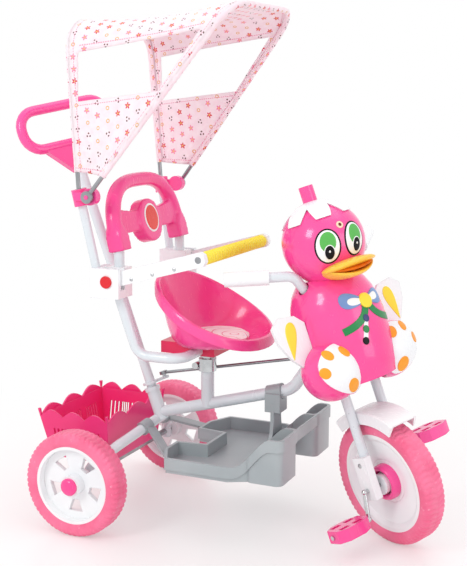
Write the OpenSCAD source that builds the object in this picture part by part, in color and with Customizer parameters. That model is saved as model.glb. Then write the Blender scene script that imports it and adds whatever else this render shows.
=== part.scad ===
// Toddler push-along trike, millimetres, +X forward, +Y rider's left, +Z up.
// The front end is drawn straight ahead about its leaning steering axis and then turned to rest_turn.

/* [Wheels] */
// Rear tyre outside radius
rear_r = 97.5; // [80:0.5:120]
// Front tyre outside radius
front_r = 117; // [100:0.5:140]
// Depth of the rear tyre over its rim
rear_tyre_h = 24.5; // [15:0.5:35]
// Depth of the front tyre over its rim
front_tyre_h = 25; // [15:0.5:35]
// Tyre width
tyre_w = 45; // [35:1:55]
// Rounding cut on the tyre corners
tyre_c = 9; // [4:0.5:14]
// Distance between the rear wheel centre planes
track = 392; // [360:1:430]
// Front hub ahead of the rear axle
wheelbase = 534; // [500:1:580]
// Rear axle rod radius
axle_r = 6; // [4:0.5:8]
// Rear hub radius
hub_r = 19; // [14:0.5:26]
// Hub width
hub_w = 50; // [46:1:60]
// Wheel web thickness
web_t = 9; // [5:0.5:14]
// Rim band thickness
rim_t = 6; // [4:0.5:9]
// Hub cap radius
cap_r = 16; // [10:0.5:18]
// Hub cap height
cap_h = 9; // [5:0.5:12]
// Windows in each rear rim
windows = 5; // [3:1:7]
// Rotation of the rear rim windows in degrees
window_turn = 18; // [0:1:36]

/* [Frame] */
// Backward lean of the steering and push axes in degrees
lean = 19.8; // [10:0.1:30]
// Turn of the front end to the rider's right at rest in degrees
rest_turn = 31; // [0:1:35]
// Main tube radius
main_tr = 11; // [9:0.5:14]
// Frame tube wall
wall = 1.5; // [1:0.1:3]
// Height of the push axis where it crosses the rear joint
joint_z = 188; // [170:1:210]
// Rear joint ahead of the rear axle
joint_x = 70; // [50:1:90]
// Main tube bend point, forward
main_bend_x = 346; // [330:1:352]
// Main tube bend point, up
main_bend_z = 264; // [250:1:280]
// Main tube bend radius
main_bend_r = 45; // [30:1:60]
// Head tube start along the steering axis from the hub
head_z0 = 268; // [255:1:290]
// Head tube length
head_l = 58; // [45:1:70]
// Head tube radius
head_r = 17; // [14:0.5:20]
// Push socket radius
socket_r = 12.7; // [11:0.1:15]
// Push socket length along its axis
socket_l = 66; // [50:1:90]
// Push socket collar height
collar_h = 8; // [5:0.5:12]
// Push socket collar radius
collar_r = 15; // [13:0.5:18]
// Axle arch tube radius
arch_r = 10; // [8:0.5:12]
// Arch leg centre plane inside the wheel centre plane
arch_gap = 38; // [34:1:44]
// Arch shoulder, forward and sideways and up
arch_mid = [37, 108, 147]; // [0:1:200]
// Arch leg bottom below the axle
arch_foot = 13; // [11:0.5:18]
// Arch bend radius
arch_bend_r = 30; // [20:1:40]
// Seat post radius
post_r = 12.5; // [10:0.5:15]
// Seat post ahead of the rear axle
post_x = 173; // [150:1:190]
// Seat post top height
post_z = 300; // [285:1:304]

/* [Seat] */
// Seat pan underside height
pan_z = 342; // [335:1:360]
// Seat centre ahead of the rear axle
seat_x = 190; // [170:1:210]
// Seat half length
seat_a = 98; // [80:1:120]
// Seat half width
seat_b = 118; // [100:1:130]
// Rim height at the front
rim_front_z = 356; // [350:1:380]
// Rim height at the back
rim_back_z = 466; // [430:1:490]
// Seat shell thickness
shell_t = 3.5; // [2.5:0.1:5]
// Width of the rolled rim
lip_w = 11; // [6:0.5:16]
// Drop of the rolled rim
lip_drop = 17; // [8:0.5:24]
// Cushion crown height
pad_h = 11; // [6:0.5:18]
// Seat bracket half width
bracket_y = 46; // [35:1:60]
// Seat bracket start and end, forward
bracket_x = [98, 208]; // [80:1:230]
// Seat bracket height
bracket_h = 22; // [14:1:30]
// Seat frame tube radius
chair_r = 9.5; // [7:0.5:12]
// Seat frame half spacing
chair_y = 120; // [110:1:126]
// Seat frame forward position of the uprights
chair_x = 54; // [45:1:60]
// Seat frame forward position of the lower bend
chair_low_x = 90; // [80:1:100]
// Seat frame inward bend, forward
chair_in_x = 176; // [160:1:190]
// Height of the seat frame tube below the seat
chair_z = 329; // [325:1:332]
// Height where the uprights straighten
chair_kink_z = 430; // [420:1:440]
// Seat frame bend radius
chair_bend_r = 30; // [20:1:40]

/* [Back] */
// Joint block centre
block_c = [44, 133, 464]; // [0:1:500]
// Joint block size
block_s = [58, 50, 54]; // [30:1:80]
// Slot for the guard arm, sideways
arm_y = 142; // [138:0.5:146]
// Guard arm thickness
arm_t = 12; // [8:0.5:14]
// Guard pivot pin radius
pivot_r = 6; // [4:0.5:8]
// Guard pivot, forward and up
pivot = [48, 467]; // [30:1:500]
// Guard bar, forward and up
bar = [226, 516]; // [200:1:540]
// Guard arm height
arm_h = 26; // [18:1:34]
// Guard bar rod radius
bar_r = 6; // [4:0.5:8]
// Sleeve outside radius
sleeve_r = 12; // [9:0.5:15]
// Sleeve rib depth
rib_d = 2; // [1:0.25:4]
// Sleeve ribs
ribs = 27; // [15:1:40]
// Release button radius
button_r = 11; // [8:0.5:13]
// Release button thickness
button_t = 7; // [5:0.5:10]
// Release button travel
button_travel = 3; // [2:0.5:4]
// Upright tube radius
upright_r = 8; // [6:0.5:10]
// Upright tube foot
up_foot = [23, 142, 470]; // [-50:1:600]
// Upright tube top
up_top = [-6, 156, 632]; // [-50:1:700]
// Backrest foot height
rest_z = 522; // [500:1:540]
// Room between the backrest and a lifted guard arm
rest_gap = 1.5; // [1:0.5:4]
// Backrest ring width
rest_w = 36; // [28:1:46]
// Backrest thickness
rest_t = 32; // [22:1:40]
// Backrest lean in degrees
rest_lean = 13; // [5:1:20]
// Backrest centre boss radius
boss_r = 47; // [38:1:55]
// Backrest centre boss height above the feet
boss_z = 46; // [35:1:60]
// Length of seat frame tube inside the backrest foot
rest_in = 24; // [15:1:30]

/* [Canopy] */
// Canopy pivot, forward and sideways and up
hood = [25.6, 166, 620]; // [0:1:700]
// Pivot disc radius
disc_r = 15; // [11:0.5:18]
// Pivot disc thickness
disc_t = 14; // [10:0.5:18]
// Canopy wire radius
wire_r = 4; // [3:0.5:6]
// Rear hoop corner
rear_corner = [-26, 150, 925]; // [-80:1:980]
// Front hoop corner
front_corner = [288, 142, 950]; // [200:1:980]
// Hoop corner bend radius
hoop_bend_r = 58; // [30:1:80]
// Hoop eye radius
eye_r = 11; // [8:0.5:14]
// Hoop eye thickness
eye_t = 8; // [5:0.5:12]
// Space between the pivot disc and the front hoop eye
hoop_gap = 2.4; // [1.5:0.1:4]
// Fabric thickness
cloth_t = 1.6; // [1:0.1:3]
// Sag of the canopy between the hoops
sag = 11; // [0:1:25]

/* [Steering] */
// Steering column radius
column_r = 11; // [9:0.5:14]
// Fork blade radius
blade_r = 9; // [7:0.5:11]
// Fork blade half spacing
blade_y = 38; // [34:1:44]
// Fork crown height along the steering axis
crown_z = 200; // [190:1:206]
// Fork crown thickness
crown_t = 12; // [8:0.5:16]
// Fork end cover size
cover_s = [32, 16, 78]; // [10:1:100]
// Fork end cover start below the hub
cover_low = 18; // [14:1:24]
// Steering arm length
link_c = 34; // [28:1:40]
// Steering arm level along the steering axis
link_z = 222; // [218:1:230]
// Steering arm thickness
link_t = 5; // [3:0.5:7]
// Link pin radius
pin_r = 4; // [3:0.5:5]
// Push crank level along the push axis from the rear joint
crank_z = 60; // [57:1:80]
// Link rod radius
rod_r = 3; // [2:0.5:4]
// Link rod eye radius
rod_eye_r = 8; // [6:0.5:10]
// Link rod eye thickness
rod_eye_t = 6; // [4:0.5:8]
// Space between a steering arm and the link rod eye
rod_gap = 4; // [3:0.5:6]
// Push tube radius
push_r = 9.5; // [8:0.5:11]
// Push tube length above the rear joint
push_l = 494; // [450:1:540]
// Handle ring half width
ring_a = 94; // [80:1:110]
// Handle ring height between bar centres
ring_h = 76; // [60:1:90]
// Handle ring bar radius
ring_r = 10; // [8:0.5:13]
// Handle ring corner radius
ring_c = 34; // [20:1:37]
// Handle flare half width
flare_a = 58; // [40:1:70]
// Handle flare height
flare_h = 56; // [40:1:70]
// Handlebar tube radius
hbar_r = 9; // [7:0.5:11]
// Handlebar centre along the steering axis
hbar_z = 342; // [338:1:348]
// Grip radius
grip_r = 13; // [11:0.5:16]
// Grip start from straight ahead: forward, sideways, along the axis
grip_a = [14, 75, 402]; // [-100:1:450]
// Grip end
grip_b = [-50, 168, 432]; // [-100:1:460]
// Handlebar knee half spacing
knee_y = 36; // [34:1:42]
// Mudguard above the tyre
mud_gap = 18; // [6:1:22]
// Mudguard width
mud_w = 62; // [50:1:70]
// Mudguard thickness
mud_t = 3; // [2:0.5:5]
// Mudguard ends in degrees from the forward direction
mud_ends = [50, 116]; // [20:1:150]

/* [Pedals] */
// Crank radius
crank_r = 46; // [40:1:50]
// Crank rod radius
crank_rod_r = 4; // [3:0.5:5]
// Crank elbow radius
elbow_r = 5.5; // [4.5:0.5:7]
// Crank arm start sideways
arm_in = 62; // [58:1:66]
// Pedal start sideways
pedal_y = 82; // [78:1:88]
// Pedal length, depth and thickness
pedal_s = [50, 76, 22]; // [15:1:90]

/* [Figure] */
// Head radius
face_r = 74; // [68:1:78]
// Head centre ahead of the steering axis
face_x = 28; // [15:1:36]
// Head centre above the body top
face_up = 57; // [52:1:62]
// Turn of the bill to the rider's right in degrees
face_turn = 9; // [0:1:15]
// Moulded wall of the figure
skin = 3; // [2:0.5:4]
// Cap height above the head centre, middle of its points
cap_z = 53; // [45:1:58]
// Cap point height
cap_tooth = 22; // [14:1:26]
// Cap points
cap_points = 7; // [5:1:9]
// Knob radius
knob_r = 13; // [9:0.5:16]
// Knob height
knob_h = 27; // [18:1:32]
// Body radius
body_r = 84; // [80:1:90]
// Body lower edge along the steering axis
body_z0 = 190; // [182:1:200]
// Body top above the head tube
body_up = 58; // [54:1:64]
// Depth of the collar that holds the head
collar_d = 24; // [20:1:28]
// Back edge of the lower body behind the steering axis
body_back = 38; // [30:1:45]
// Height along the axis where the body closes round the back
back_z = 335; // [328:1:342]
// Space round the handlebar where it leaves the body
way_gap = 3; // [2:0.5:6]
// Thigh radius
thigh_r = 52; // [46:1:54]
// Thigh centre: forward, sideways, along the axis
thigh = [20, 66, 224]; // [0:1:240]
// Thigh back edge behind the steering axis
thigh_back = 12; // [10:1:16]
// Bill half sizes
bill_s = [44, 50, 15]; // [8:1:60]
// Bill centre: forward, along the axis from the head centre
bill_c = [60, -54]; // [-60:1:100]
// Wing plate thickness
wing_t = 6; // [4:0.5:9]
// Wing plate size: sideways, along the axis
wing_s = [74, 96]; // [30:1:110]
// Wing plate middle: forward, sideways, along the axis
wing_c = [8, 78, 294]; // [0:1:300]

/* [Carriers] */
// Basket floor start and end, forward
basket_x = [-116, 10]; // [-150:1:30]
// Basket half width at the floor
basket_y = 98; // [80:1:110]
// Basket rim height above the floor
basket_h = 84; // [60:1:100]
// Basket flare towards the rim
basket_f = 16; // [8:1:24]
// Basket wall
basket_t = 3; // [2:0.5:4]
// Basket rim scallop height
scallop = 14; // [5:1:22]
// Footrest floor underside height
tray_z = 122; // [110:1:135]
// Footrest wall height
tray_h = 28; // [20:1:36]
// Footrest wall thickness
tray_t = 3.5; // [2.5:0.5:5]
// Footrest half width
tray_y = 143; // [130:1:150]
// Footrest start and end, forward
tray_x = [132, 326]; // [120:1:340]
// Footrest pocket start and end, forward
pocket_x = [308, 376]; // [300:1:380]
// Footrest pocket inner and outer sides
pocket_y = [50, 130]; // [50:1:140]
// Footrest pocket corner radius
pocket_c = 12; // [6:1:16]
// Footrest edge height at the front
band_z = 83; // [70:1:90]
// Height of the band round the footrest edge
band_h = 22; // [14:1:26]
// Thickness of the band outside the wall
band_t = 2.5; // [1:0.5:4]
// Start and end of the rise of the edge, forward
sweep_x = [288, 356]; // [270:1:370]
// Clip length along the main tube
clip_l = 30; // [20:1:40]
// Clip wall
clip_t = 4; // [3:0.5:6]
// Clip position forward
clip_x = 313; // [300:1:315]
// Footrest riser half width
riser_y = 18; // [12:1:24]

/* [Fits] */
// Radial running clearance
run = 0.06; // [0.02:0.01:0.1]
// Gap between moving bodies
gap = 0.8; // [0.4:0.1:1.5]
// Space left between the bill and the head
bill_fit = 0.1; // [0.1:0.05:0.3]

/* [Hidden] */
$fn = 48;
big = 1000;
eps = 0.01;
mid_x = 226.83;
frame_color = [0.78, 0.86, 0.91];
pink = [0.93, 0.25, 0.55];
white = [0.96, 0.96, 0.96];
grey = [0.66, 0.70, 0.72];
steel = [0.75, 0.76, 0.78];
// Height of the front hub that keeps the leaning, turned tyre on the ground
wheel_tip = asin(sin(lean) * sin(rest_turn));
front_z = front_r * cos(wheel_tip) + (tyre_w / 2 - tyre_c) * sin(wheel_tip);
axis_dir = [-sin(lean), 0, cos(lean)];
fwd_dir = [cos(lean), 0, sin(lean)];
hub_p = [wheelbase, 0, front_z];
joint_p = [joint_x, 0, joint_z];
head_p = hub_p + axis_dir * (head_z0 + head_l / 2);
main_bend = [main_bend_x, 0, main_bend_z];
main_dir = unit(main_bend - joint_p);
turn_dir = fwd_dir * sin(rest_turn) + [0, cos(rest_turn), 0];
rod_level = link_t / 2 + rod_gap + rod_eye_t / 2;
pin_l = rod_gap + rod_eye_t + gap;
rod_a = joint_p + axis_dir * (crank_z + rod_level) + turn_dir * link_c;
rod_b = hub_p + axis_dir * (link_z + rod_level) + turn_dir * link_c;
socket_z0 = -14;
collar_top = socket_z0 + socket_l;
pillar_r = post_r - wall;
floor_z = rear_r + axle_r;
rear_rim_r = rear_r - rear_tyre_h;
front_rim_r = front_r - front_tyre_h;
rest_r = arm_y - arm_t / 2 - rest_gap;
arch_y = track / 2 - arch_gap;
arch_top = joint_p - [0, 0, arch_r];
clip_z = mix(joint_z, main_bend_z, (clip_x - joint_x) / (main_bend_x - joint_x));
mud_r = front_r + mud_gap;
body_z1 = head_z0 + head_l + body_up;
stem_z = body_z1 - collar_d;
face_z = body_z1 + face_up;
pan_share = 0.72;
body_mid_share = 0.42;
body_round_share = 0.68;

function unit(v) = v / norm(v);
function perp(d) = abs(d[2]) < cos(30) ? unit(cross(d, [0, 0, 1])) : unit(cross(d, [0, 1, 0]));
function flip(p) = [p[0], -p[1], p[2]];
function mix(a, b, t) = a + (b - a) * t;
// Corner points of a path replaced by arcs of n steps
function corner(a, b, c, r, n) = let (u = unit(b - a), w = unit(c - b), g = acos(u * w), l = r * tan(g / 2),
    m = b + unit(w - u) * r / cos(g / 2), p = b - u * l - m, q = unit(cross(cross(u, w), p)))
    [for (i = [0:n]) m + p * cos(g * i / n) + q * r * sin(g * i / n)];
function rounded(p, r, n) = [p[0], for (i = [1:len(p) - 2]) each corner(p[i - 1], p[i], p[i + 1], r, n),
    p[len(p) - 1]];
function loop(p, r, n) = [for (i = [0:len(p) - 1])
    each corner(p[(i + len(p) - 1) % len(p)], p[i], p[(i + 1) % len(p)], r, n)];
function tangents(p) = [for (i = [0:len(p) - 1]) unit(p[min(i + 1, len(p) - 1)] - p[max(i - 1, 0)])];
function ring_tangents(p) = let (m = len(p))
    [for (i = [0:m - 1]) unit(p[(i + 1) % m] - p[(i + m - 1) % m])];
function normals(t) = [for (i = 0, n = perp(t[0]); i < len(t);
    i = i + 1, n = i < len(t) ? unit(n - (n * t[i]) * t[i]) : n) n];
function skin_points(p, t, n, r, k) = [for (i = [0:len(p) - 1]) for (j = [0:k - 1])
    p[i] + r * (cos(360 * j / k) * n[i] + sin(360 * j / k) * cross(t[i], n[i]))];
function wall_faces(m, k, o) = [for (i = [0:m - 2]) for (j = [0:k - 1])
    let (a = o + i * k + j, b = o + i * k + (j + 1) % k) each [[a, a + k, b + k], [a, b + k, b]]];
function turned(f) = [for (t = f) [t[2], t[1], t[0]]];

// Hollow round tube along a path
module tube(p, r, t, k) {
    d = tangents(p);
    n = normals(d);
    m = len(p);
    o = m * k;
    e = o - k;
    polyhedron(concat(skin_points(p, d, n, r, k), skin_points(p, d, n, r - t, k)), concat(wall_faces(m, k, 0),
        turned(wall_faces(m, k, o)),
        [for (j = [0:k - 1]) let (b = (j + 1) % k) each [[j, b, o + b], [j, o + b, o + j]]],
        [for (j = [0:k - 1]) let (b = (j + 1) % k)
            each [[e + b, e + j, o + e + j], [e + b, o + e + j, o + e + b]]]),
        convexity = 6);
}
// Solid round bar along a path
module bar_along(p, r, k) {
    d = tangents(p);
    n = normals(d);
    m = len(p);
    polyhedron(skin_points(p, d, n, r, k), concat(wall_faces(m, k, 0),
        [[for (j = [0:k - 1]) j]], [[for (j = [0:k - 1]) m * k - 1 - j]]), convexity = 6);
}
// Closed round ring along a flat loop
module ring_along(p, r, k) {
    d = ring_tangents(p);
    n = [for (t = d) unit(cross(t, [1, 0, 0]))];
    m = len(p);
    pts = skin_points(p, d, n, r, k);
    polyhedron(concat(pts, [for (j = [0:k - 1]) pts[j]]), wall_faces(m + 1, k, 0), convexity = 6);
}
module basis(o, x, y, z) {
    multmatrix([[x[0], y[0], z[0], o[0]], [x[1], y[1], z[1], o[1]], [x[2], y[2], z[2], o[2]], [0, 0, 0, 1]])
        children();
}
// Round rod between two points
module rod(a, b, r) {
    d = unit(b - a);
    x = perp(d);
    basis(a, x, cross(d, x), d) cylinder(r = r, h = norm(b - a));
}
module pipe(a, b, r, t) {
    d = unit(b - a);
    difference() {
        rod(a, b, r);
        rod(a - d, b + d, r - t);
    }
}
module home() { translate([-mid_x, 0, 0]) children(); }
module steer_axis() { translate(hub_p) rotate([0, -lean, 0]) children(); }
module steered() { home() steer_axis() rotate([0, 0, -rest_turn]) children(); }
module push_axis() { translate(joint_p) rotate([0, -lean, 0]) children(); }
module pushed() { home() push_axis() rotate([0, 0, -rest_turn]) children(); }
module left(on) { if (on) mirror([0, 1, 0]) children(); else children(); }
module across(y0, y1, r) { translate([0, y1, 0]) rotate([90, 0, 0]) cylinder(r = r, h = y1 - y0); }
module slab(x, y, z) { translate([x[0], y[0], z[0]]) cube([x[1] - x[0], y[1] - y[0], z[1] - z[0]]); }

// Frame
module main_tube() {
    path = rounded([joint_p, main_bend, head_p], main_bend_r, 6);
    color(frame_color) home() difference() {
        tube(path, main_tr, wall, 24);
        push_axis() translate([0, 0, -big / 2]) cylinder(r = socket_r, h = big);
        steer_axis() cylinder(r = head_r, h = big);
    }
}
module head_tube() {
    color(frame_color) home() steer_axis() translate([0, 0, head_z0]) difference() {
        cylinder(r = head_r, h = head_l);
        translate([0, 0, -eps]) cylinder(r = column_r + run, h = head_l + 2 * eps);
    }
}
module push_socket() {
    color(frame_color) home() push_axis() difference() {
        union() {
            translate([0, 0, socket_z0]) cylinder(r = socket_r, h = socket_l);
            translate([0, 0, collar_top - collar_h]) cylinder(r = collar_r, h = collar_h);
        }
        translate([0, 0, socket_z0 + wall]) cylinder(r = push_r + run, h = socket_l);
    }
}
module axle_arch() {
    foot = [0, arch_y, rear_r - arch_foot];
    ankle = [0, arch_y, rear_r + arch_foot];
    path = rounded([flip(foot), flip(ankle), flip(arch_mid), arch_top, arch_mid, ankle, foot],
        arch_bend_r, 5);
    color(frame_color) home() difference() {
        tube(path, arch_r, wall, 20);
        translate([0, 0, rear_r]) across(-track, track, axle_r);
        push_axis() translate([0, 0, socket_z0]) cylinder(r = socket_r, h = socket_l);
        rod(joint_p, main_bend, main_tr);
    }
}
module rear_axle() {
    end = track / 2 + hub_w / 2 - gap;
    color(steel) home() translate([0, 0, rear_r]) across(-end, end, axle_r);
}
module seat_post() {
    color(frame_color) home() difference() {
        rod([post_x, 0, joint_z], [post_x, 0, post_z], post_r);
        rod([post_x, 0, joint_z - wall], [post_x, 0, post_z + wall], pillar_r);
        rod(joint_p - main_dir * big, joint_p + main_dir * big, main_tr);
        translate([post_x, 0, joint_z - post_r]) cylinder(r = 2 * post_r, h = 2 * post_r + main_tr);
    }
}
module seat_clamp() {
    tall = 18;
    lip = 4.5;
    cap = 6;
    bolt = 4;
    color(steel) home() difference() {
        union() {
            translate([post_x, 0, post_z - tall]) cylinder(r = post_r + lip, h = tall + cap);
            rod([post_x, 0, post_z - 2 * tall], [post_x, 0, pan_z - bracket_h], pillar_r);
            translate([post_x - post_r - lip - bolt, 0, post_z - tall / 2])
                across(-post_r, post_r, bolt + lip / 2);
        }
        difference() {
            translate([post_x, 0, post_z - big]) cylinder(r = post_r, h = big);
            rod([post_x, 0, post_z - 2 * tall], [post_x, 0, post_z + cap], pillar_r);
        }
    }
}

// Seat
module seat_frame(on) {
    a = [chair_x, -chair_y, rest_z + rest_in];
    b = [chair_x, -chair_y, chair_kink_z];
    c = [chair_low_x, -chair_y, chair_z];
    d = [chair_in_x, -chair_y, chair_z];
    e = [chair_in_x, -bracket_y, chair_z];
    color(frame_color) home() left(on) tube(rounded([a, b, c, d, e], chair_bend_r, 6), chair_r, wall, 18);
}
module seat_frame_right() { seat_frame(false); }
module seat_frame_left() { seat_frame(true); }
// Seat surface: share 0 at the pan centre, 1 at the rim; t measured outwards from the inner face
// Exponents: rise of the rim to the back, spread of the wall, rise of the wall
rim_bend = 1.25;
wall_spread = 0.6;
wall_rise = 1.15;
function rim_z(g) = mix(rim_front_z, rim_back_z, pow((1 - cos(g)) / 2, rim_bend));
function seat_point(g, s, t) = let (pan = min(s / pan_share, 1),
    w = max((s - pan_share) / (1 - pan_share), 0),
    q = pan * pan_share + (1 - pan_share) * pow(w, wall_spread))
    [seat_x + (seat_a * q + t * w) * cos(g), (seat_b * q + t * w) * sin(g),
    mix(pan_z + shell_t, rim_z(g), pow(w, wall_rise)) - t * (1 - w)];
function lip_point(g, o, d) = [seat_x + (seat_a + o) * cos(g), (seat_b + o) * sin(g), rim_z(g) - d];
function seat_ring(s, t, k) = [for (i = [0:k - 1]) seat_point(360 * i / k, s, t)];
function lip_ring(o, d, k) = [for (i = [0:k - 1]) lip_point(360 * i / k, o, d)];
module seat_shell() {
    k = 40;
    inner_shares = [0.35, 0.72, 0.76, 0.82, 0.9, 1];
    outer_shares = [0.98, 0.9, 0.82, 0.76, 0.72, 0.35];
    crown_shares = [0.3, 0.75];
    lip_in = lip_w - shell_t;
    rings = concat([for (s = inner_shares) seat_ring(s, 0, k)],
        [lip_ring(lip_w * crown_shares[0], -shell_t, k), lip_ring(lip_w * crown_shares[1], -shell_t / 2, k),
        lip_ring(lip_w, shell_t, k), lip_ring(lip_w, lip_drop, k), lip_ring(lip_in, lip_drop, k),
        lip_ring(lip_in, 2 * shell_t, k)], [for (s = outer_shares) seat_ring(s, shell_t, k)]);
    m = len(rings);
    pts = [for (r = rings) each r];
    color(pink) home() polyhedron(concat(pts, [seat_point(0, 0, 0), seat_point(0, 0, shell_t)]),
        concat(turned(wall_faces(m, k, 0)), [for (j = [0:k - 1]) [(j + 1) % k, j, m * k]],
        [for (j = [0:k - 1]) [(m - 1) * k + j, (m - 1) * k + (j + 1) % k, m * k + 1]]), convexity = 8);
}
module seat_pad() {
    k = 40;
    pad_shares = [0.69, 0.7, 0.69, 0.59, 0.41, 0.21];
    rise_shares = [0, 0.35, 0.62, 0.85, 0.96, 1];
    base = pan_z + shell_t;
    m = len(pad_shares);
    pts = [for (i = [0:m - 1]) for (j = [0:k - 1]) [seat_x + seat_a * pad_shares[i] * cos(360 * j / k),
        seat_b * pad_shares[i] * sin(360 * j / k), base + pad_h * rise_shares[i]]];
    color([0.98, 0.88, 0.9]) home() polyhedron(concat(pts, [[seat_x, 0, base + pad_h]]),
        concat(wall_faces(m, k, 0), [[for (j = [0:k - 1]) j]],
        [for (j = [0:k - 1]) [(m - 1) * k + (j + 1) % k, (m - 1) * k + j, m * k]]), convexity = 4);
}
module seat_bracket() {
    color([0.85, 0.12, 0.35]) home() slab(bracket_x, [-bracket_y, bracket_y], [pan_z - bracket_h, pan_z]);
}

// Back
module joint_block(on) {
    slot = arm_t / 2 + gap;
    reach = arm_h / 2 + 2 * gap;
    face = block_c[1] + block_s[1] / 2;
    color(white) home() left(on) difference() {
        translate([block_c[0], -block_c[1], block_c[2]]) cube(block_s, center = true);
        rod([chair_x, -chair_y, 0], [chair_x, -chair_y, big], chair_r);
        rod(flip(up_foot), flip(up_top), upright_r);
        difference() {
            slab([pivot[0] - reach, big], [-arm_y - slot, -arm_y + slot], [pivot[1] - reach, big]);
            translate([pivot[0], 0, pivot[1]]) across(-face, 0, pivot_r);
        }
        translate([pivot[0], 0, pivot[1]]) across(-big, -face + button_t, button_r + run);
    }
}
module joint_block_right() { joint_block(false); }
module joint_block_left() { joint_block(true); }
module button(on) {
    face = block_c[1] + block_s[1] / 2;
    color([0.85, 0.1, 0.15]) home() left(on) translate([pivot[0], 0, pivot[1]])
        across(-face - button_travel, -face + button_t - button_travel - gap, button_r);
}
module button_right() { button(false); }
module button_left() { button(true); }
module upright(on) {
    color(frame_color) home() left(on) pipe(flip(up_foot), flip(up_top), upright_r, wall);
}
module upright_right() { upright(false); }
module upright_left() { upright(true); }
module backrest() {
    inner = rest_r - rest_w;
    web_low = 14;
    web_high = 46;
    foot_drop = 4;
    color(pink) home() difference() {
        translate([chair_x, 0, rest_z]) rotate([0, -rest_lean, 0]) rotate([90, 0, 90])
            translate([0, 0, -rest_t / 2]) linear_extrude(rest_t) difference() {
                intersection() {
                    circle(r = rest_r, $fn = 96);
                    translate([-rest_r, -foot_drop]) square([2 * rest_r, rest_r + 2 * foot_drop]);
                }
                difference() {
                    intersection() {
                        circle(r = inner, $fn = 96);
                        translate([-rest_r, web_high]) square(2 * rest_r);
                    }
                    translate([0, boss_z]) circle(r = boss_r);
                }
                difference() {
                    translate([-inner, -2 * foot_drop]) square([2 * inner, web_low + 2 * foot_drop]);
                    translate([0, boss_z]) circle(r = boss_r);
                }
            }
        rod([chair_x, chair_y, 0], [chair_x, chair_y, rest_z + rest_in], chair_r);
        rod([chair_x, -chair_y, 0], [chair_x, -chair_y, rest_z + rest_in], chair_r);
    }
}
module guard_arm(on) {
    d = unit([bar[0] - pivot[0], 0, bar[1] - pivot[1]]);
    l = norm([bar[0] - pivot[0], bar[1] - pivot[1]]);
    h = arm_h / 2;
    c = h / 2;
    color(white) home() left(on) difference() {
        translate([pivot[0], -arm_y + arm_t / 2, pivot[1]]) rotate([0, -asin(d[2]), 0]) rotate([90, 0, 0])
            linear_extrude(arm_t) polygon([[-h, -c], [-c, -h], [l + c, -h], [l + h, -c], [l + h, c],
            [l + c, h], [-c, h], [-h, c]]);
        translate([pivot[0], 0, pivot[1]]) across(-big, 0, pivot_r + run);
        translate([bar[0], 0, bar[1]]) across(-big, 0, bar_r);
    }
}
module guard_arm_right() { guard_arm(false); }
module guard_arm_left() { guard_arm(true); }
module guard_bar() {
    end = arm_y + arm_t / 2;
    color(steel) home() translate([bar[0], 0, bar[1]]) across(-end, end, bar_r);
}
module guard_sleeve() {
    half = arm_y - arm_t / 2;
    p = 2 * half / ribs;
    low = sleeve_r - rib_d;
    crest_share = 0.5;
    color([1, 0.82, 0.1]) home() translate([bar[0], -half, bar[1]]) rotate([-90, 0, 0]) rotate_extrude()
        polygon(concat([[bar_r, 0]], [for (i = [0:ribs - 1]) each [[low, p * i],
        [sleeve_r, p * (i + crest_share / 2)], [sleeve_r, p * (i + crest_share)]]],
        [[low, 2 * half], [bar_r, 2 * half]]));
}

// Canopy
module canopy_clamp(on) {
    pin_end = hood[1] + disc_t / 2 + hoop_gap + eye_t + gap;
    t = 6;
    d = unit(up_top - up_foot);
    color(pink) home() left(on) difference() {
        union() {
            rod(flip(up_top - d * 2 * disc_r), flip(up_top), upright_r + t);
            translate([hood[0], 0, hood[2]]) across(-hood[1] - disc_t / 2, -hood[1] + disc_t / 2, disc_r);
            slab([up_top[0], hood[0]], [-hood[1] - disc_t / 2, -hood[1] + disc_t / 2],
                [hood[2] - disc_r / 2, hood[2] + disc_r / 2]);
            translate([hood[0], 0, hood[2]]) across(-pin_end, -hood[1], pin_r);
        }
        rod(flip(up_foot), flip(up_top + d), upright_r);
    }
}
module canopy_clamp_right() { canopy_clamp(false); }
module canopy_clamp_left() { canopy_clamp(true); }
module rear_hoop() {
    path = rounded([flip(up_top), flip(rear_corner), rear_corner, up_top], hoop_bend_r, 7);
    color(steel) home() bar_along(path, wire_r, 12);
}
front_root = [hood[0], hood[1] + disc_t / 2 + hoop_gap + eye_t / 2, hood[2]];
module front_hoop() {
    a = front_root + unit(front_corner - front_root) * (eye_r - wire_r / 2);
    path = rounded([flip(a), flip(front_corner), front_corner, a], hoop_bend_r, 7);
    color(steel) home() difference() {
        union() {
            bar_along(path, wire_r, 12);
            for (s = [-1, 1]) translate([hood[0], s * front_root[1], hood[2]])
                across(-eye_t / 2, eye_t / 2, eye_r);
        }
        translate([hood[0], 0, hood[2]]) across(-big, big, pin_r + run);
    }
}
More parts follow.
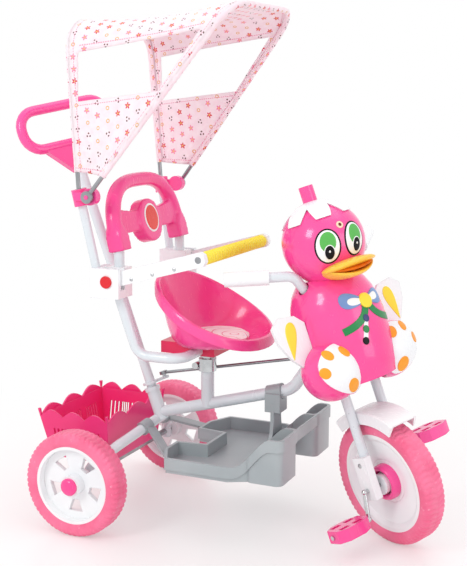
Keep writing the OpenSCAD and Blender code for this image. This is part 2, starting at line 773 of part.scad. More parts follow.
// Cloth follows both hoops: leg samples, corner arc, half of the top
leg_shares = [0.2, 0.32, 0.44, 0.56, 0.68, 0.78];
function half_hoop(a, c) = let (arc = corner(a, c, flip(c), hoop_bend_r, 5))
    concat([for (s = leg_shares) mix(a, arc[0], s)], arc, [[c[0], 0, c[2]]]);
function half_out() = concat([for (s = leg_shares) [0, 1, 0]],
    [for (i = [0:5]) [0, cos(18 * i), sin(18 * i)]], [[0, 0, 1]]);
function both_sides(h) = concat([for (p = h) [p[0], -p[1], p[2]]], [for (i = [len(h) - 2:-1:0]) h[i]]);
module canopy_fabric() {
    rear = both_sides(half_hoop(up_top, rear_corner));
    front = both_sides(half_hoop(front_root, front_corner));
    out = both_sides(half_out());
    m = len(rear);
    k = 10;
    lift = wire_r + gap;
    side_share = 0.35;
    function cloth(i, j, t) = mix(rear[i], front[i], j / k) + out[i] * (lift + t - sag * sin(180 * j / k)
        * (i > 5 && i < m - 6 ? 1 : side_share));
    function on(i, j) = i >= 0 && i < m - 1 && j >= 0 && j < k
        && !((i == 4 || i == 5 || i == m - 6 || i == m - 7) && j > 0 && j < k - 1);
    function v(i, j) = i * (k + 1) + j;
    o = m * (k + 1);
    pts = concat([for (i = [0:m - 1]) for (j = [0:k]) cloth(i, j, 0)],
        [for (i = [0:m - 1]) for (j = [0:k]) cloth(i, j, cloth_t)]);
    cells = [for (i = [0:m - 2]) for (j = [0:k - 1]) if (on(i, j)) [i, j]];
    function quad(a, b, c, d) = [[a, b, c], [a, c, d]];
    faces = concat(
        [for (c = cells) let (i = c[0], j = c[1])
            each quad(v(i, j), v(i, j + 1), v(i + 1, j + 1), v(i + 1, j))],
        [for (c = cells) let (i = c[0], j = c[1])
            each quad(o + v(i + 1, j), o + v(i + 1, j + 1), o + v(i, j + 1), o + v(i, j))],
        [for (c = cells) let (i = c[0], j = c[1]) if (!on(i, j - 1))
            each quad(v(i, j), v(i + 1, j), o + v(i + 1, j), o + v(i, j))],
        [for (c = cells) let (i = c[0], j = c[1]) if (!on(i, j + 1))
            each quad(v(i + 1, j + 1), v(i, j + 1), o + v(i, j + 1), o + v(i + 1, j + 1))],
        [for (c = cells) let (i = c[0], j = c[1]) if (!on(i - 1, j))
            each quad(v(i, j + 1), v(i, j), o + v(i, j), o + v(i, j + 1))],
        [for (c = cells) let (i = c[0], j = c[1]) if (!on(i + 1, j))
            each quad(v(i + 1, j), v(i + 1, j + 1), o + v(i + 1, j + 1), o + v(i + 1, j))]);
    color([0.97, 0.85, 0.88]) home() polyhedron(pts, faces, convexity = 8);
}

// Carriers
// Tapered box from the floor up to a given height, drawn in by d
module taper(z0, d) {
    g = basket_f * (basket_h + scallop) / basket_h;
    top = floor_z + basket_h + scallop;
    x0 = basket_x[0] + d;
    x1 = basket_x[1] - d;
    y = basket_y - d;
    pts = [[x0, -y, z0], [x1, -y, z0], [x1, y, z0], [x0, y, z0],
        [x0 - g, -y - g, top], [x1 + g / 2, -y - g, top], [x1 + g / 2, y + g, top], [x0 - g, y + g, top]];
    polyhedron(pts, [[0, 1, 2, 3], [4, 5, 1, 0], [5, 6, 2, 1], [6, 7, 3, 2], [7, 4, 0, 3], [7, 6, 5, 4]]);
}
// Wavy upper region of a wall between a and b
module wave(a, b, n) {
    k = 8;
    low = floor_z + basket_h;
    polygon(concat([[a, low + 2 * scallop]], [for (i = [0:n * k]) [mix(a, b, i / (n * k)),
        low + scallop * abs(sin(180 * i / k))]], [[b, low + 2 * scallop]]));
}
module slot_group(c) {
    bars = 5;
    pitch = 9;
    slot = 4;
    low_share = 0.25;
    high_share = 0.72;
    for (j = [0:bars - 1]) translate([c + (j - (bars - 1) / 2) * pitch, 0, floor_z])
        slab([-slot / 2, slot / 2], [-big, big], [basket_h * low_share, basket_h * high_share]);
}
module basket() {
    waves = 3;
    side_share = 0.6;
    color(pink) home() difference() {
        taper(floor_z, 0);
        translate([0, 0, basket_t]) taper(floor_z, basket_t);
        translate([0, big, 0]) rotate([90, 0, 0]) linear_extrude(2 * big)
            wave(basket_x[0] - basket_f + basket_t, basket_x[1] + basket_f / 2 - basket_t, waves);
        translate([-big, 0, 0]) rotate([90, 0, 90]) linear_extrude(2 * big)
            wave(-basket_y - basket_f + basket_t, basket_y + basket_f - basket_t, waves);
        for (i = [1:waves]) slot_group(mix(basket_x[0], basket_x[1], i / (waves + 1)));
        intersection() {
            rotate([0, 0, 90]) for (i = [-1:1]) slot_group(i * basket_y * side_share);
            slab([-big, mix(basket_x[0], basket_x[1], side_share / 2)], [-big, big], [0, big]);
        }
    }
}
module tray_plan() {
    c = 24;
    nose = 48;
    notch = [58, 40];
    polygon([[tray_x[0], -tray_y + 2 * c], [tray_x[0] + c, -tray_y], [tray_x[1] - 2 * c, -tray_y],
        [tray_x[1], -tray_y + c], [tray_x[1], tray_y - c], [tray_x[1] - 2 * c, tray_y],
        [tray_x[0] + c, tray_y], [tray_x[0], tray_y - 2 * c], [tray_x[0], nose],
        [tray_x[0] + notch[0], notch[1]], [tray_x[0] + notch[0], -notch[1]], [tray_x[0], -nose]]);
}
module pocket_plan() {
    size = [pocket_x[1] - pocket_x[0], pocket_y[1] - pocket_y[0]];
    for (s = [0, 1]) mirror([0, s]) offset(r = pocket_c, $fn = 24) offset(delta = -pocket_c)
        translate([pocket_x[0], pocket_y[0]]) square(size);
}
// Edge height above the floor, rising from the tray to the front
function sweep_h(x) = let (t = max(min((x - sweep_x[0]) / (sweep_x[1] - sweep_x[0]), 1), 0))
    mix(tray_h, band_z, t * t * (3 - 2 * t));
// Footrest outline grown by o, cut to the swept edge and to a band of height h below it
module swept(o, h) {
    steps = 10;
    xs = [tray_x[0] - band_h, for (i = [0:steps]) mix(sweep_x[0], sweep_x[1], i / steps),
        pocket_x[1] + band_h];
    edge = [for (x = xs) [x, tray_z + sweep_h(x)]];
    foot = [for (i = [len(xs) - 1:-1:0]) [xs[i], max(tray_z, tray_z + sweep_h(xs[i]) - h)]];
    intersection() {
        linear_extrude(big) offset(delta = o) {
            tray_plan();
            pocket_plan();
        }
        translate([0, big / 2, 0]) rotate([90, 0, 0]) linear_extrude(big) polygon(concat(edge, foot));
    }
}
// Bracket plate that rises to the clip
module riser() {
    steps = 6;
    low = tray_z + tray_h;
    high = 205;
    side = 44;
    top = clip_z - main_tr - 2 * clip_t;
    flare = [for (i = [0:steps]) [mix(riser_y, side, i / steps), mix(high, low, sqrt(i / steps))]];
    translate([clip_x - tray_t, 0, 0]) rotate([90, 0, 90]) linear_extrude(2 * tray_t) polygon(concat(
        [[-riser_y, top], [riser_y, top]], flare, [[side, tray_z], [-side, tray_z]],
        [for (i = [steps:-1:0]) [-flare[i][0], flare[i][1]]]));
}
// Flat strap between two points, w wide along y and t thick
module strap(a, b, w, t) {
    d = unit(b - a);
    x = unit(cross([0, 1, 0], d));
    basis(a, x, cross(d, x), d) translate([-t / 2, -w / 2, 0]) cube([t, w, norm(b - a)]);
}
module footrest() {
    strap_w = 20;
    strap_more = 1;
    saddle_y = [28, 48];
    foot_in = 6;
    foot_y = 96;
    foot = [tray_x[0] + foot_in, foot_y, tray_z + tray_h / 2];
    function on_arch(y) = mix(arch_top, arch_mid, y / arch_mid[1]);
    head = on_arch((saddle_y[0] + saddle_y[1]) / 2) + [arch_r + tray_t / 2, 0, 0];
    color(grey) home() difference() {
        union() {
            swept(0, big);
            swept(band_t, band_h);
            slab([pocket_x[1] - tray_t, pocket_x[1]], [-pocket_y[0] - pocket_c, pocket_y[0] + pocket_c],
                [tray_z + band_z - band_h, tray_z + band_z]);
            riser();
            for (s = [0, 1]) mirror([0, s, 0]) {
                rod(on_arch(saddle_y[0]), on_arch(saddle_y[1]), arch_r + tray_t);
                strap(head, foot, strap_w, tray_t + strap_more);
            }
        }
        difference() {
            translate([0, 0, tray_z + tray_t]) linear_extrude(big) offset(delta = -tray_t) tray_plan();
            linear_extrude(big) pocket_plan();
            riser();
        }
        translate([0, 0, tray_z + tray_t]) linear_extrude(big) offset(delta = -tray_t) pocket_plan();
        for (s = [0, 1]) mirror([0, s, 0]) rod(arch_top, arch_mid, arch_r);
    }
}
module footrest_clip() {
    c = [clip_x, 0, clip_z];
    color(grey) home() difference() {
        union() {
            rod(c - main_dir * clip_l / 2, c + main_dir * clip_l / 2, main_tr + clip_t);
            slab([clip_x - clip_l / 2, clip_x + clip_l / 2], [-riser_y, riser_y],
                [clip_z - main_tr - 6 * clip_t, clip_z]);
        }
        rod(c - main_dir * big, c + main_dir * big, main_tr);
        slab([clip_x - tray_t, clip_x + tray_t], [-riser_y - clip_t, riser_y + clip_t],
            [0, clip_z - main_tr - 2 * clip_t]);
    }
}

// Front end, drawn straight ahead from the hub with z along the steering axis
module steering_column() {
    block = [36, 44];
    color(frame_color) steered() difference() {
        union() {
            translate([0, 0, crown_z + crown_t]) cylinder(r = column_r, h = stem_z - crown_z - crown_t);
            translate([-block[0] / 2, -block[1] / 2, head_z0 + head_l + gap])
                cube([block[0], block[1], stem_z - head_z0 - head_l - gap]);
            translate([0, 0, link_z - link_t / 2]) cylinder(r = head_r, h = link_t);
            slab([-rod_eye_r, rod_eye_r], [0, link_c], [link_z - link_t / 2, link_z + link_t / 2]);
            translate([0, link_c, link_z - link_t / 2]) cylinder(r = rod_eye_r, h = link_t);
            translate([0, link_c, link_z]) cylinder(r = pin_r, h = link_t / 2 + pin_l);
        }
        translate([0, 0, hbar_z]) across(-big, big, hbar_r);
    }
}
module fork() {
    lip = 3;
    half = blade_r + lip;
    start = -cover_low / 2;
    color(frame_color) steered() difference() {
        union() {
            slab([-half, half], [-blade_y - half, blade_y + half], [crown_z, crown_z + crown_t]);
            for (s = [-1, 1]) translate([0, s * blade_y, start]) cylinder(r = blade_r, h = crown_z - start);
        }
        across(-big, big, crank_rod_r + run);
    }
}
module fork_cover(on) {
    color(white) steered() left(on) difference() {
        translate([-cover_s[0] / 2, -blade_y - cover_s[1], -cover_low]) cube(cover_s);
        translate([0, -blade_y, -cover_low / 2]) cylinder(r = blade_r, h = big);
        across(-big, big, crank_rod_r + run);
    }
}
module fork_cover_right() { fork_cover(false); }
module fork_cover_left() { fork_cover(true); }
module mudguard() {
    skirt = 20;
    color(white) steered() difference() {
        rotate([90, 0, 0]) rotate([0, 0, mud_ends[0]]) rotate_extrude(angle = mud_ends[1] - mud_ends[0])
            polygon([[mud_r - skirt, -mud_w / 2], [mud_r, -mud_w / 2], [mud_r + mud_t, -mud_w / 2 + mud_t],
            [mud_r + mud_t, mud_w / 2 - mud_t], [mud_r, mud_w / 2], [mud_r - skirt, mud_w / 2],
            [mud_r - skirt, mud_w / 2 - mud_t], [mud_r, mud_w / 2 - 2 * mud_t],
            [mud_r, -mud_w / 2 + 2 * mud_t], [mud_r - skirt, -mud_w / 2 + mud_t]]);
        for (s = [-1, 1]) translate([0, s * blade_y, 0]) cylinder(r = blade_r, h = big);
    }
}
function mirror_path(p) = concat([for (q = p) flip(q)], [for (i = [len(p) - 1:-1:0]) p[i]]);
module handlebar() {
    bend = 20;
    path = rounded(mirror_path([grip_b, grip_a, [0, knee_y, hbar_z]]), bend, 5);
    color(frame_color) steered() tube(path, hbar_r, wall, 16);
}
module grip(on) {
    grip_shares = [0.36, 1.03];
    start = mix(grip_a, grip_b, grip_shares[0]);
    end = mix(grip_a, grip_b, grip_shares[1]);
    color(white) steered() left(on) difference() {
        rod(flip(start), flip(end), grip_r);
        rod(flip(grip_a), flip(grip_b), hbar_r);
    }
}
module grip_right() { grip(false); }
module grip_left() { grip(true); }
// Outline of the body up to a height, drawn in by t
function body_radius(z) = let (s = (z - body_z0) / (body_z1 - body_z0))
    body_r * sqrt(1 - pow(abs(s - body_mid_share) / body_round_share, 3));
function body_line(top, t) = [for (i = [0:10]) let (z = mix(body_z0, top, i / 10)) [body_radius(z) - t, z]];
module on_head() { translate([face_x, 0, face_z]) children(); }
module duck_body() {
    core_share = 0.62;
    thigh_top = thigh[2] + thigh_r;
    color(pink) steered() difference() {
        union() {
            rotate_extrude() polygon(concat(body_line(body_z1, 0), [[0, body_z1], [0, stem_z]],
                [for (i = [10:-1:0]) body_line(stem_z, skin)[i]]));
            for (s = [-1, 1]) translate([thigh[0], s * thigh[1], thigh[2]]) difference() {
                sphere(r = thigh_r);
                sphere(r = thigh_r - skin);
            }
        }
        on_head() sphere(r = face_r);
        cylinder(r = body_r * core_share, h = thigh_top);
        slab([-big, -body_back], [-big, big], [0, back_z]);
        slab([-big, -thigh_back], [-big, big], [0, thigh_top]);
        for (s = [0, 1]) mirror([0, s, 0]) rod([0, knee_y, hbar_z], grip_a, hbar_r + way_gap);
    }
}
module duck_head() {
    neck = 20;
    color(pink) steered() difference() {
        on_head() sphere(r = face_r);
        on_head() sphere(r = face_r - skin);
        translate([0, 0, stem_z]) cylinder(r = neck, h = face_up + collar_d);
    }
}
module duck_bill() {
    color([1, 0.65, 0.1]) steered() difference() {
        on_head() rotate([0, 0, -face_turn]) translate([bill_c[0], 0, bill_c[1]]) scale(bill_s)
            sphere(r = 1, $fn = 28);
        on_head() sphere(r = face_r + bill_fit, $fn = 96);
        rotate_extrude($fn = 96)
            polygon(concat(body_line(body_z1, -2 * bill_fit), [[0, body_z1], [0, body_z0]]));
    }
}
module duck_cap() {
    half = cap_tooth / 2;
    color(white) steered() on_head() difference() {
        sphere(r = face_r + skin);
        sphere(r = face_r);
        translate([0, 0, -big + cap_z - half]) cylinder(r = big, h = big);
        for (i = [0:cap_points - 1]) rotate([0, 0, 360 * i / cap_points]) translate([0, 0, cap_z - half])
            rotate([0, 90, 0]) linear_extrude(big)
            polygon([[half, -cap_tooth], [-cap_tooth, 0], [half, cap_tooth]]);
    }
}
module cap_knob() {
    color(pink) steered() on_head() difference() {
        translate([0, 0, face_r]) cylinder(r = knob_r, h = knob_h + skin);
        sphere(r = face_r + skin);
    }
}
module wing(on) {
    wide_shares = [0, 0.3, 0.75, 1, 0.95, 0.7, 0.45, 0];
    tall_shares = [0.45, 0.9, 1, 0.7, 0.1, -0.6, -1, -0.4];
    color(white) steered() left(on) difference() {
        translate([wing_c[0], -wing_c[1], wing_c[2]]) rotate([90, 0, 90]) linear_extrude(wing_t)
            polygon([for (i = [0:7]) [-wing_s[0] * wide_shares[i], wing_s[1] / 2 * tall_shares[i]]]);
        cylinder(r = body_r, h = big);
        translate([thigh[0], -thigh[1], thigh[2]]) sphere(r = thigh_r);
    }
}
module wing_right() { wing(false); }
module wing_left() { wing(true); }

// Wheels, drawn about y
module tyre(r, s) {
    h = tyre_w / 2;
    rotate([90, 0, 0]) rotate_extrude($fn = 96) polygon([[s, -h + tyre_c / 3], [s + tyre_c / 2, -h],
        [r - tyre_c, -h], [r - tyre_c / 3, -h + tyre_c / 3], [r, -h + tyre_c], [r, h - tyre_c],
        [r - tyre_c / 3, h - tyre_c / 3],
        [r - tyre_c, h], [s + tyre_c / 2, h], [s, h - tyre_c / 3]]);
}
module rim(s, bore, cut) {
    h = tyre_w / 2 - tyre_c / 3;
    reach_shares = [0.42, 0.72];
    half_shares = [0.09, 0.2];
    a = s * reach_shares[0];
    b = s * reach_shares[1];
    p = s * half_shares[0];
    q = s * half_shares[1];
    difference() {
        union() {
            across(-hub_w / 2, hub_w / 2, hub_r);
            across(-web_t / 2, web_t / 2, s - rim_t / 2);
            difference() {
                across(-h, h, s);
                across(-big, big, s - rim_t);
            }
        }
        across(-big, big, bore);
        for (i = [0:cut - 1]) rotate([0, 360 * i / cut + window_turn, 0]) rotate([90, 0, 0])
            translate([0, 0, -big / 2]) linear_extrude(big) polygon([[a, -p], [b, -q], [b, q], [a, p]]);
    }
}
module front_place() { steered() children(); }
module rear_place(on) { home() left(on) translate([0, -track / 2, rear_r]) children(); }
module front_tyre() { color([0.95, 0.45, 0.62]) front_place() tyre(front_r, front_rim_r); }
module front_rim() { color(white) front_place() rim(front_rim_r, crank_rod_r, 0); }
module rear_tyre_right() { color([0.95, 0.45, 0.62]) rear_place(false) tyre(rear_r, rear_rim_r); }
module rear_tyre_left() { color([0.95, 0.45, 0.62]) rear_place(true) tyre(rear_r, rear_rim_r); }
module rear_rim_right() { color(white) rear_place(false) rim(rear_rim_r, axle_r + run, windows); }
module rear_rim_left() { color(white) rear_place(true) rim(rear_rim_r, axle_r + run, windows); }
module hub_cap() {
    wide_shares = [0, 1, 1, 0.8, 0.45, 0];
    tall_shares = [0, 0, 0.4, 0.8, 1, 1];
    color(pink) translate([0, -hub_w / 2, 0]) rotate([90, 0, 0]) rotate_extrude()
        polygon([for (i = [0:5]) [cap_r * wide_shares[i], cap_h * tall_shares[i]]]);
}
module hub_cap_right() { rear_place(false) hub_cap(); }
module hub_cap_left() { rear_place(true) hub_cap(); }
module pedal_crank() {
    end = pedal_y + pedal_s[1] - gap;
    elbow_y = pedal_y - 2 * elbow_r;
    color(steel) front_place() {
        across(-arm_in, arm_in, crank_rod_r);
        for (s = [-1, 1]) {
            rod([0, s * arm_in, 0], [0, s * elbow_y, s * crank_r], crank_rod_r);
            translate([0, s * arm_in, 0]) sphere(r = elbow_r);
            translate([0, s * elbow_y, s * crank_r]) sphere(r = elbow_r);
            rod([0, s * elbow_y, s * crank_r], [0, s * end, s * crank_r], crank_rod_r);
        }
    }
}
module pedal(s) {
    h = pedal_s[1] / 2;
    a = pedal_s[0] / 2;
    slot = 5;
    deep_shares = [-1, -0.55, 0.55, 1, 1, 0.55, -0.55, -1];
    long_shares = [-0.45, -0.9, -0.9, -0.45, 0.45, 1, 1, 0.45];
    slot_share = 0.4;
    color(pink) front_place() translate([0, s * (pedal_y + h), s * crank_r]) difference() {
        translate([0, 0, -pedal_s[2] / 2]) linear_extrude(pedal_s[2])
            polygon([for (i = [0:7]) [a * deep_shares[i], h * long_shares[i]]]);
        across(-h - gap, h + gap, crank_rod_r + run);
        for (i = [-1, 1]) for (j = [-1, 1]) translate([i * a / 2, j * h * slot_share, 0])
            slab([-slot, slot], [-2 * slot, 2 * slot], [-big, big]);
    }
}
module pedal_right() { pedal(-1); }
module pedal_left() { pedal(1); }

// Push bar and steering link
module push_tube() {
    base = socket_z0 + wall + gap;
    color(frame_color) pushed() {
        difference() {
            union() {
                translate([0, 0, base]) cylinder(r = push_r, h = push_l - base);
                translate([0, 0, crank_z - link_t / 2]) cylinder(r = collar_r, h = link_t);
                slab([-rod_eye_r, rod_eye_r], [0, link_c], [crank_z - link_t / 2, crank_z + link_t / 2]);
                translate([0, link_c, crank_z - link_t / 2]) cylinder(r = rod_eye_r, h = link_t);
                translate([0, link_c, crank_z]) cylinder(r = pin_r, h = link_t / 2 + pin_l);
            }
            translate([0, 0, base - wall]) cylinder(r = push_r - wall, h = push_l + 2 * wall);
        }
    }
}
module push_handle() {
    t = 8;
    neck = push_r + t / 2;
    low = push_l + flare_h;
    high = low + ring_h;
    ring = loop([[0, -ring_a, low], [0, ring_a, low], [0, ring_a, high], [0, -ring_a, high]], ring_c, 6);
    color(pink) pushed() {
        ring_along(ring, ring_r, 16);
        translate([-t, 0, 0]) rotate([90, 0, 90]) linear_extrude(2 * t)
            polygon([[-neck, push_l], [neck, push_l], [flare_a, low - t], [flare_a, low], [-flare_a, low],
            [-flare_a, low - t]]);
    }
}
module steering_rod() {
    h = rod_eye_t / 2;
    color(steel) home() difference() {
        union() {
            rod(rod_a, rod_b, rod_r);
            rod(rod_a - axis_dir * h, rod_a + axis_dir * h, rod_eye_r);
            rod(rod_b - axis_dir * h, rod_b + axis_dir * h, rod_eye_r);
        }
        rod(rod_a - axis_dir * big, rod_a + axis_dir * big, pin_r + run);
        rod(rod_b - axis_dir * big, rod_b + axis_dir * big, pin_r + run);
    }
}

main_tube();
head_tube();
push_socket();
axle_arch();
rear_axle();
seat_post();
seat_clamp();
seat_frame_right();
seat_frame_left();
seat_shell();
seat_pad();
seat_bracket();
joint_block_right();
joint_block_left();
upright_right();
upright_left();
backrest();
canopy_clamp_right();
canopy_clamp_left();
rear_hoop();
canopy_fabric();
basket();
footrest();
footrest_clip();
front_hoop();
guard_arm_right();
guard_arm_left();
guard_bar();
guard_sleeve();
button_right();
button_left();
steering_column();
fork();
fork_cover_right();
fork_cover_left();
mudguard();
handlebar();
grip_right();
grip_left();
duck_body();
duck_head();
duck_bill();
duck_cap();
cap_knob();
wing_right();
wing_left();
front_tyre();
front_rim();
pedal_crank();
pedal_right();
pedal_left();
rear_tyre_right();
rear_rim_right();
hub_cap_right();
rear_tyre_left();
rear_rim_left();
hub_cap_left();
push_tube();
push_handle();
steering_rod();
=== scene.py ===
# %% [markdown]
# # A toddler's push-along trike
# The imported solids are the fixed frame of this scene: tubes, wheels, seat, duck and hood. Blender adds what
# a solid can't show, such as cloth, foam tread, painted eyes, stitches and the finish of every surface. Each
# cell first says what the real piece is and how it could be made, then makes it.

# %% Load the frame
import math
import bmesh
import bpy
import numpy as np
from mathutils import Matrix, Vector, noise


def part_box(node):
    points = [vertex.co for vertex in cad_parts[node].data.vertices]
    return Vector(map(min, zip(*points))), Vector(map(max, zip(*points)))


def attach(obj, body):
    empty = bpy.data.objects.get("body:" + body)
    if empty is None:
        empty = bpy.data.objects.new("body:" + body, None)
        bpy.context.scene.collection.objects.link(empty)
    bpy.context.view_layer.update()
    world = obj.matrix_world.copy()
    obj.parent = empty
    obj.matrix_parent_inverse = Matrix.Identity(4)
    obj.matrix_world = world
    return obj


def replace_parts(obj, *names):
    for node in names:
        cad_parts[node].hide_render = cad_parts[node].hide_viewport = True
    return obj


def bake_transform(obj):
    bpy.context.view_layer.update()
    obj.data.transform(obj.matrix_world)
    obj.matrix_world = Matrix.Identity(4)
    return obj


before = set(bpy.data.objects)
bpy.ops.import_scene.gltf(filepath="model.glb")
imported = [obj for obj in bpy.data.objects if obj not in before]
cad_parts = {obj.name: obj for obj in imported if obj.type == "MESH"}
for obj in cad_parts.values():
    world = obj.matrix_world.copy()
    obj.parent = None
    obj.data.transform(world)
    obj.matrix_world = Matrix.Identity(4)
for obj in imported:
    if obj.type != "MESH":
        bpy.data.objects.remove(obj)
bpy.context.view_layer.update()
scene = bpy.context.scene

# %% [markdown]
# ## The camera
# The photograph was taken from the trike's front right, a little above seat height. Its place and lens were
# fitted to the three wheels, so the render can be laid over the photograph.

# %% Camera
def put(name, data):
    """Puts an object with this data into the scene."""
    made = bpy.data.objects.new(name, data)
    scene.collection.objects.link(made)
    return made


eye_at, aim_at = Vector((0.82945, -1.84468, 0.79923)), Vector((0.00002, 0.0, 0.45369))
lens_mm, film_mm = 70.41, 36
camera = put("photo_camera", bpy.data.cameras.new("photo_camera"))
camera.location = eye_at
aim = aim_at - eye_at
camera.rotation_euler = aim.to_track_quat("-Z", "Y").to_euler()
camera.data.lens = lens_mm
camera.data.sensor_width = film_mm
scene.camera = camera
scene.view_settings.view_transform = "Standard"
print("camera", round(aim.length, 3), "m from the trike")

# %% [markdown]
# ## Small tools
# Shader graphs get long when every node and link is written out. These few helpers add a node with its
# inputs, do one sum, mix two colours and open a node group, so that the material cells read as recipes.

# %% Shader helpers
def srgb(red, green, blue):
    """A colour as a paint chart gives it, 0 to 255, turned into the linear values that shaders use."""
    return tuple((c / 255 / 12.92) if c <= 10 else ((c / 255 + 0.055) / 1.055) ** 2.4
                 for c in (red, green, blue)) + (1.0,)


def feed(tree, node, inputs):
    """Links the sockets among the inputs to a node and sets the plain values."""
    for key, value in inputs.items():
        if isinstance(value, bpy.types.NodeSocket):
            tree.links.new(value, node.inputs[key])
        else:
            node.inputs[key].default_value = value


def add(tree, kind, inputs=None, **settings):
    node = tree.nodes.new(kind)
    for key, value in settings.items():
        setattr(node, key, value)
    feed(tree, node, inputs or {})
    return node


def calc(tree, operation, a, b=0.0, c=0.0):
    return add(tree, "ShaderNodeMath", {0: a, 1: b, 2: c}, operation=operation).outputs[0]


def mixed(tree, factor, a, b):
    return add(tree, "ShaderNodeMix", {0: factor, 6: a, 7: b}, data_type="RGBA").outputs[2]


def ramp(tree, value, low, high):
    """0 below low, 1 above high, smooth between."""
    node = add(tree, "ShaderNodeMapRange", {0: value, 1: low, 2: high}, interpolation_type="SMOOTHSTEP")
    return node.outputs[0]


def own_place(tree):
    """Places on the object itself, so that a pattern stays with a piece that moves."""
    return add(tree, "ShaderNodeTexCoord").outputs["Object"]


def clouds(tree, place, scale, detail):
    return add(tree, "ShaderNodeTexNoise", {"Vector": place, "Scale": scale, "Detail": detail}).outputs["Fac"]


def effect(name, takes, gives):
    """A new node group with its inputs' sockets and its output node."""
    tree = bpy.data.node_groups.new(name, "ShaderNodeTree")
    for label, kind, value in takes:
        tree.interface.new_socket(label, in_out="INPUT", socket_type=kind).default_value = value
    for label, kind in gives:
        tree.interface.new_socket(label, in_out="OUTPUT", socket_type=kind)
    return tree, tree.nodes.new("NodeGroupInput").outputs, tree.nodes.new("NodeGroupOutput")


NUMBER, COLOUR, PLACE = "NodeSocketFloat", "NodeSocketColor", "NodeSocketVector"
WHITE = (1, 1, 1, 1)
SURFACE = [("Colour", COLOUR), ("Roughness", NUMBER), ("Height", NUMBER)]
print("helpers ready")

# %% [markdown]
# ## Moulded plastic
# Most of the trike is injection moulded. Real mouldings are never one even colour: the melt leaves soft
# clouds, the mould leaves a faint orange peel, and handling leaves hairline scuffs that dull the gloss. One
# group makes all three, so the pink, white, grey, orange and red parts share the same kind of surface.

# %% Group: moulded_skin
moulded_skin, take, give = effect(
    "moulded_skin", [("Colour", COLOUR, WHITE), ("Deep", COLOUR, WHITE), ("Roughness", NUMBER, 0.2),
                     ("Scuff", NUMBER, 0.15), ("Grain", NUMBER, 600.0)], SURFACE)
spot = own_place(moulded_skin)
cloud = clouds(moulded_skin, spot, 7.0, 3.0)
peel = clouds(moulded_skin, spot, take["Grain"], 1.0)
drawn = add(moulded_skin, "ShaderNodeMapping", {"Vector": spot, "Scale": (60.0, 420.0, 60.0),
                                                "Rotation": (0.5, 0.3, 0.8)}).outputs[0]
hair = clouds(moulded_skin, drawn, 1.0, 4.0)
scuff = calc(moulded_skin, "MULTIPLY", ramp(moulded_skin, hair, 0.58, 0.74), take["Scuff"])
dull = calc(moulded_skin, "MULTIPLY_ADD", cloud, 0.08, scuff)
feed(moulded_skin, give, {
    "Colour": mixed(moulded_skin, ramp(moulded_skin, cloud, 0.3, 0.75), take["Colour"], take["Deep"]),
    "Roughness": calc(moulded_skin, "ADD", take["Roughness"], dull),
    "Height": calc(moulded_skin, "MULTIPLY_ADD", scuff, -0.6, peel)})
print("group:", moulded_skin.name)

# %% [markdown]
# The material keeps its Principled shader to itself and takes colour, roughness and height from the group.
# Moulded edges are never razor sharp, so a Bevel node rounds them in the shading by about a millimetre.

# %% Finish: moulded plastic
def new_finish(name):
    """A new material, its node tree and its Principled shader."""
    material = bpy.data.materials.new(name)
    material.use_nodes = True
    return material, material.node_tree, material.node_tree.nodes["Principled BSDF"]


def relief(tree, height, strength, distance, **normal):
    inputs = {"Strength": strength, "Distance": distance, "Height": height, **normal}
    return add(tree, "ShaderNodeBump", inputs).outputs[0]


def use(tree, group, inputs):
    """Places a node group and hands over its outputs."""
    return add(tree, "ShaderNodeGroup", inputs, node_tree=group).outputs


def moulded(name, colour, deep, roughness=0.18, grain=600.0, bump=0.06, edge=0.0012, coat=0.0, shine=0.5):
    material, tree, shader = new_finish(name)
    skin = use(tree, moulded_skin, {"Colour": srgb(*colour), "Deep": srgb(*deep), "Roughness": roughness,
                                    "Scuff": 0.15, "Grain": grain})
    round_edge = add(tree, "ShaderNodeBevel", {"Radius": edge}, samples=4).outputs[0]
    feed(tree, shader, {"Base Color": skin["Colour"], "Roughness": skin["Roughness"],
                        "Normal": relief(tree, skin["Height"], bump, 0.0006, Normal=round_edge),
                        "Specular IOR Level": shine, "Coat Weight": coat, "Coat Roughness": 0.06})
    return material


pink_gloss = moulded("pink_gloss", (250, 80, 160), (247, 62, 144), 0.16, coat=0.4)
basket_pink = moulded("basket_pink", (246, 56, 134), (240, 40, 120), 0.26)
backrest_pink = moulded("backrest_pink", (250, 80, 158), (247, 64, 144), 0.18, coat=0.3, edge=0.004)
seat_pink = moulded("seat_pink", (251, 82, 158), (248, 64, 142), 0.17, coat=0.3)
white_gloss = moulded("white_gloss", (246, 248, 250), (241, 243, 246), 0.22)
rim_white = moulded("rim_white", (246, 248, 249), (240, 242, 245), 0.3)
tray_grey = moulded("tray_grey", (170, 178, 181), (157, 166, 170), 0.3, grain=900.0, bump=0.12)
bracket_red = moulded("bracket_red", (233, 32, 92), (216, 22, 78), 0.24)
button_red = moulded("button_red", (226, 30, 42), (205, 18, 32), 0.22)
bill_yellow = moulded("bill_yellow", (253, 206, 70), (250, 186, 48), 0.24)
bill_mouth = moulded("bill_mouth", (238, 122, 16), (228, 100, 10), 0.35)
sleeve_yellow = moulded("sleeve_yellow", (252, 238, 72), (248, 228, 56), 0.42, grain=1500.0, bump=0.2)
leaf_yellow = moulded("leaf_yellow", (250, 226, 60), (246, 210, 30), 0.3)
pad_orange = moulded("pad_orange", (250, 168, 32), (246, 150, 24), 0.28)
eye_white = moulded("eye_white", (250, 250, 250), (244, 245, 246), 0.12)
eye_green = moulded("eye_green", (96, 190, 88), (70, 168, 70), 0.12)
ink_black = moulded("ink_black", (20, 17, 20), (12, 10, 13), 0.3, shine=0.2)
stud_cream = moulded("stud_cream", (253, 224, 196), (250, 210, 176), 0.2)
stud_brown = moulded("stud_brown", (112, 40, 16), (96, 30, 10), 0.2)
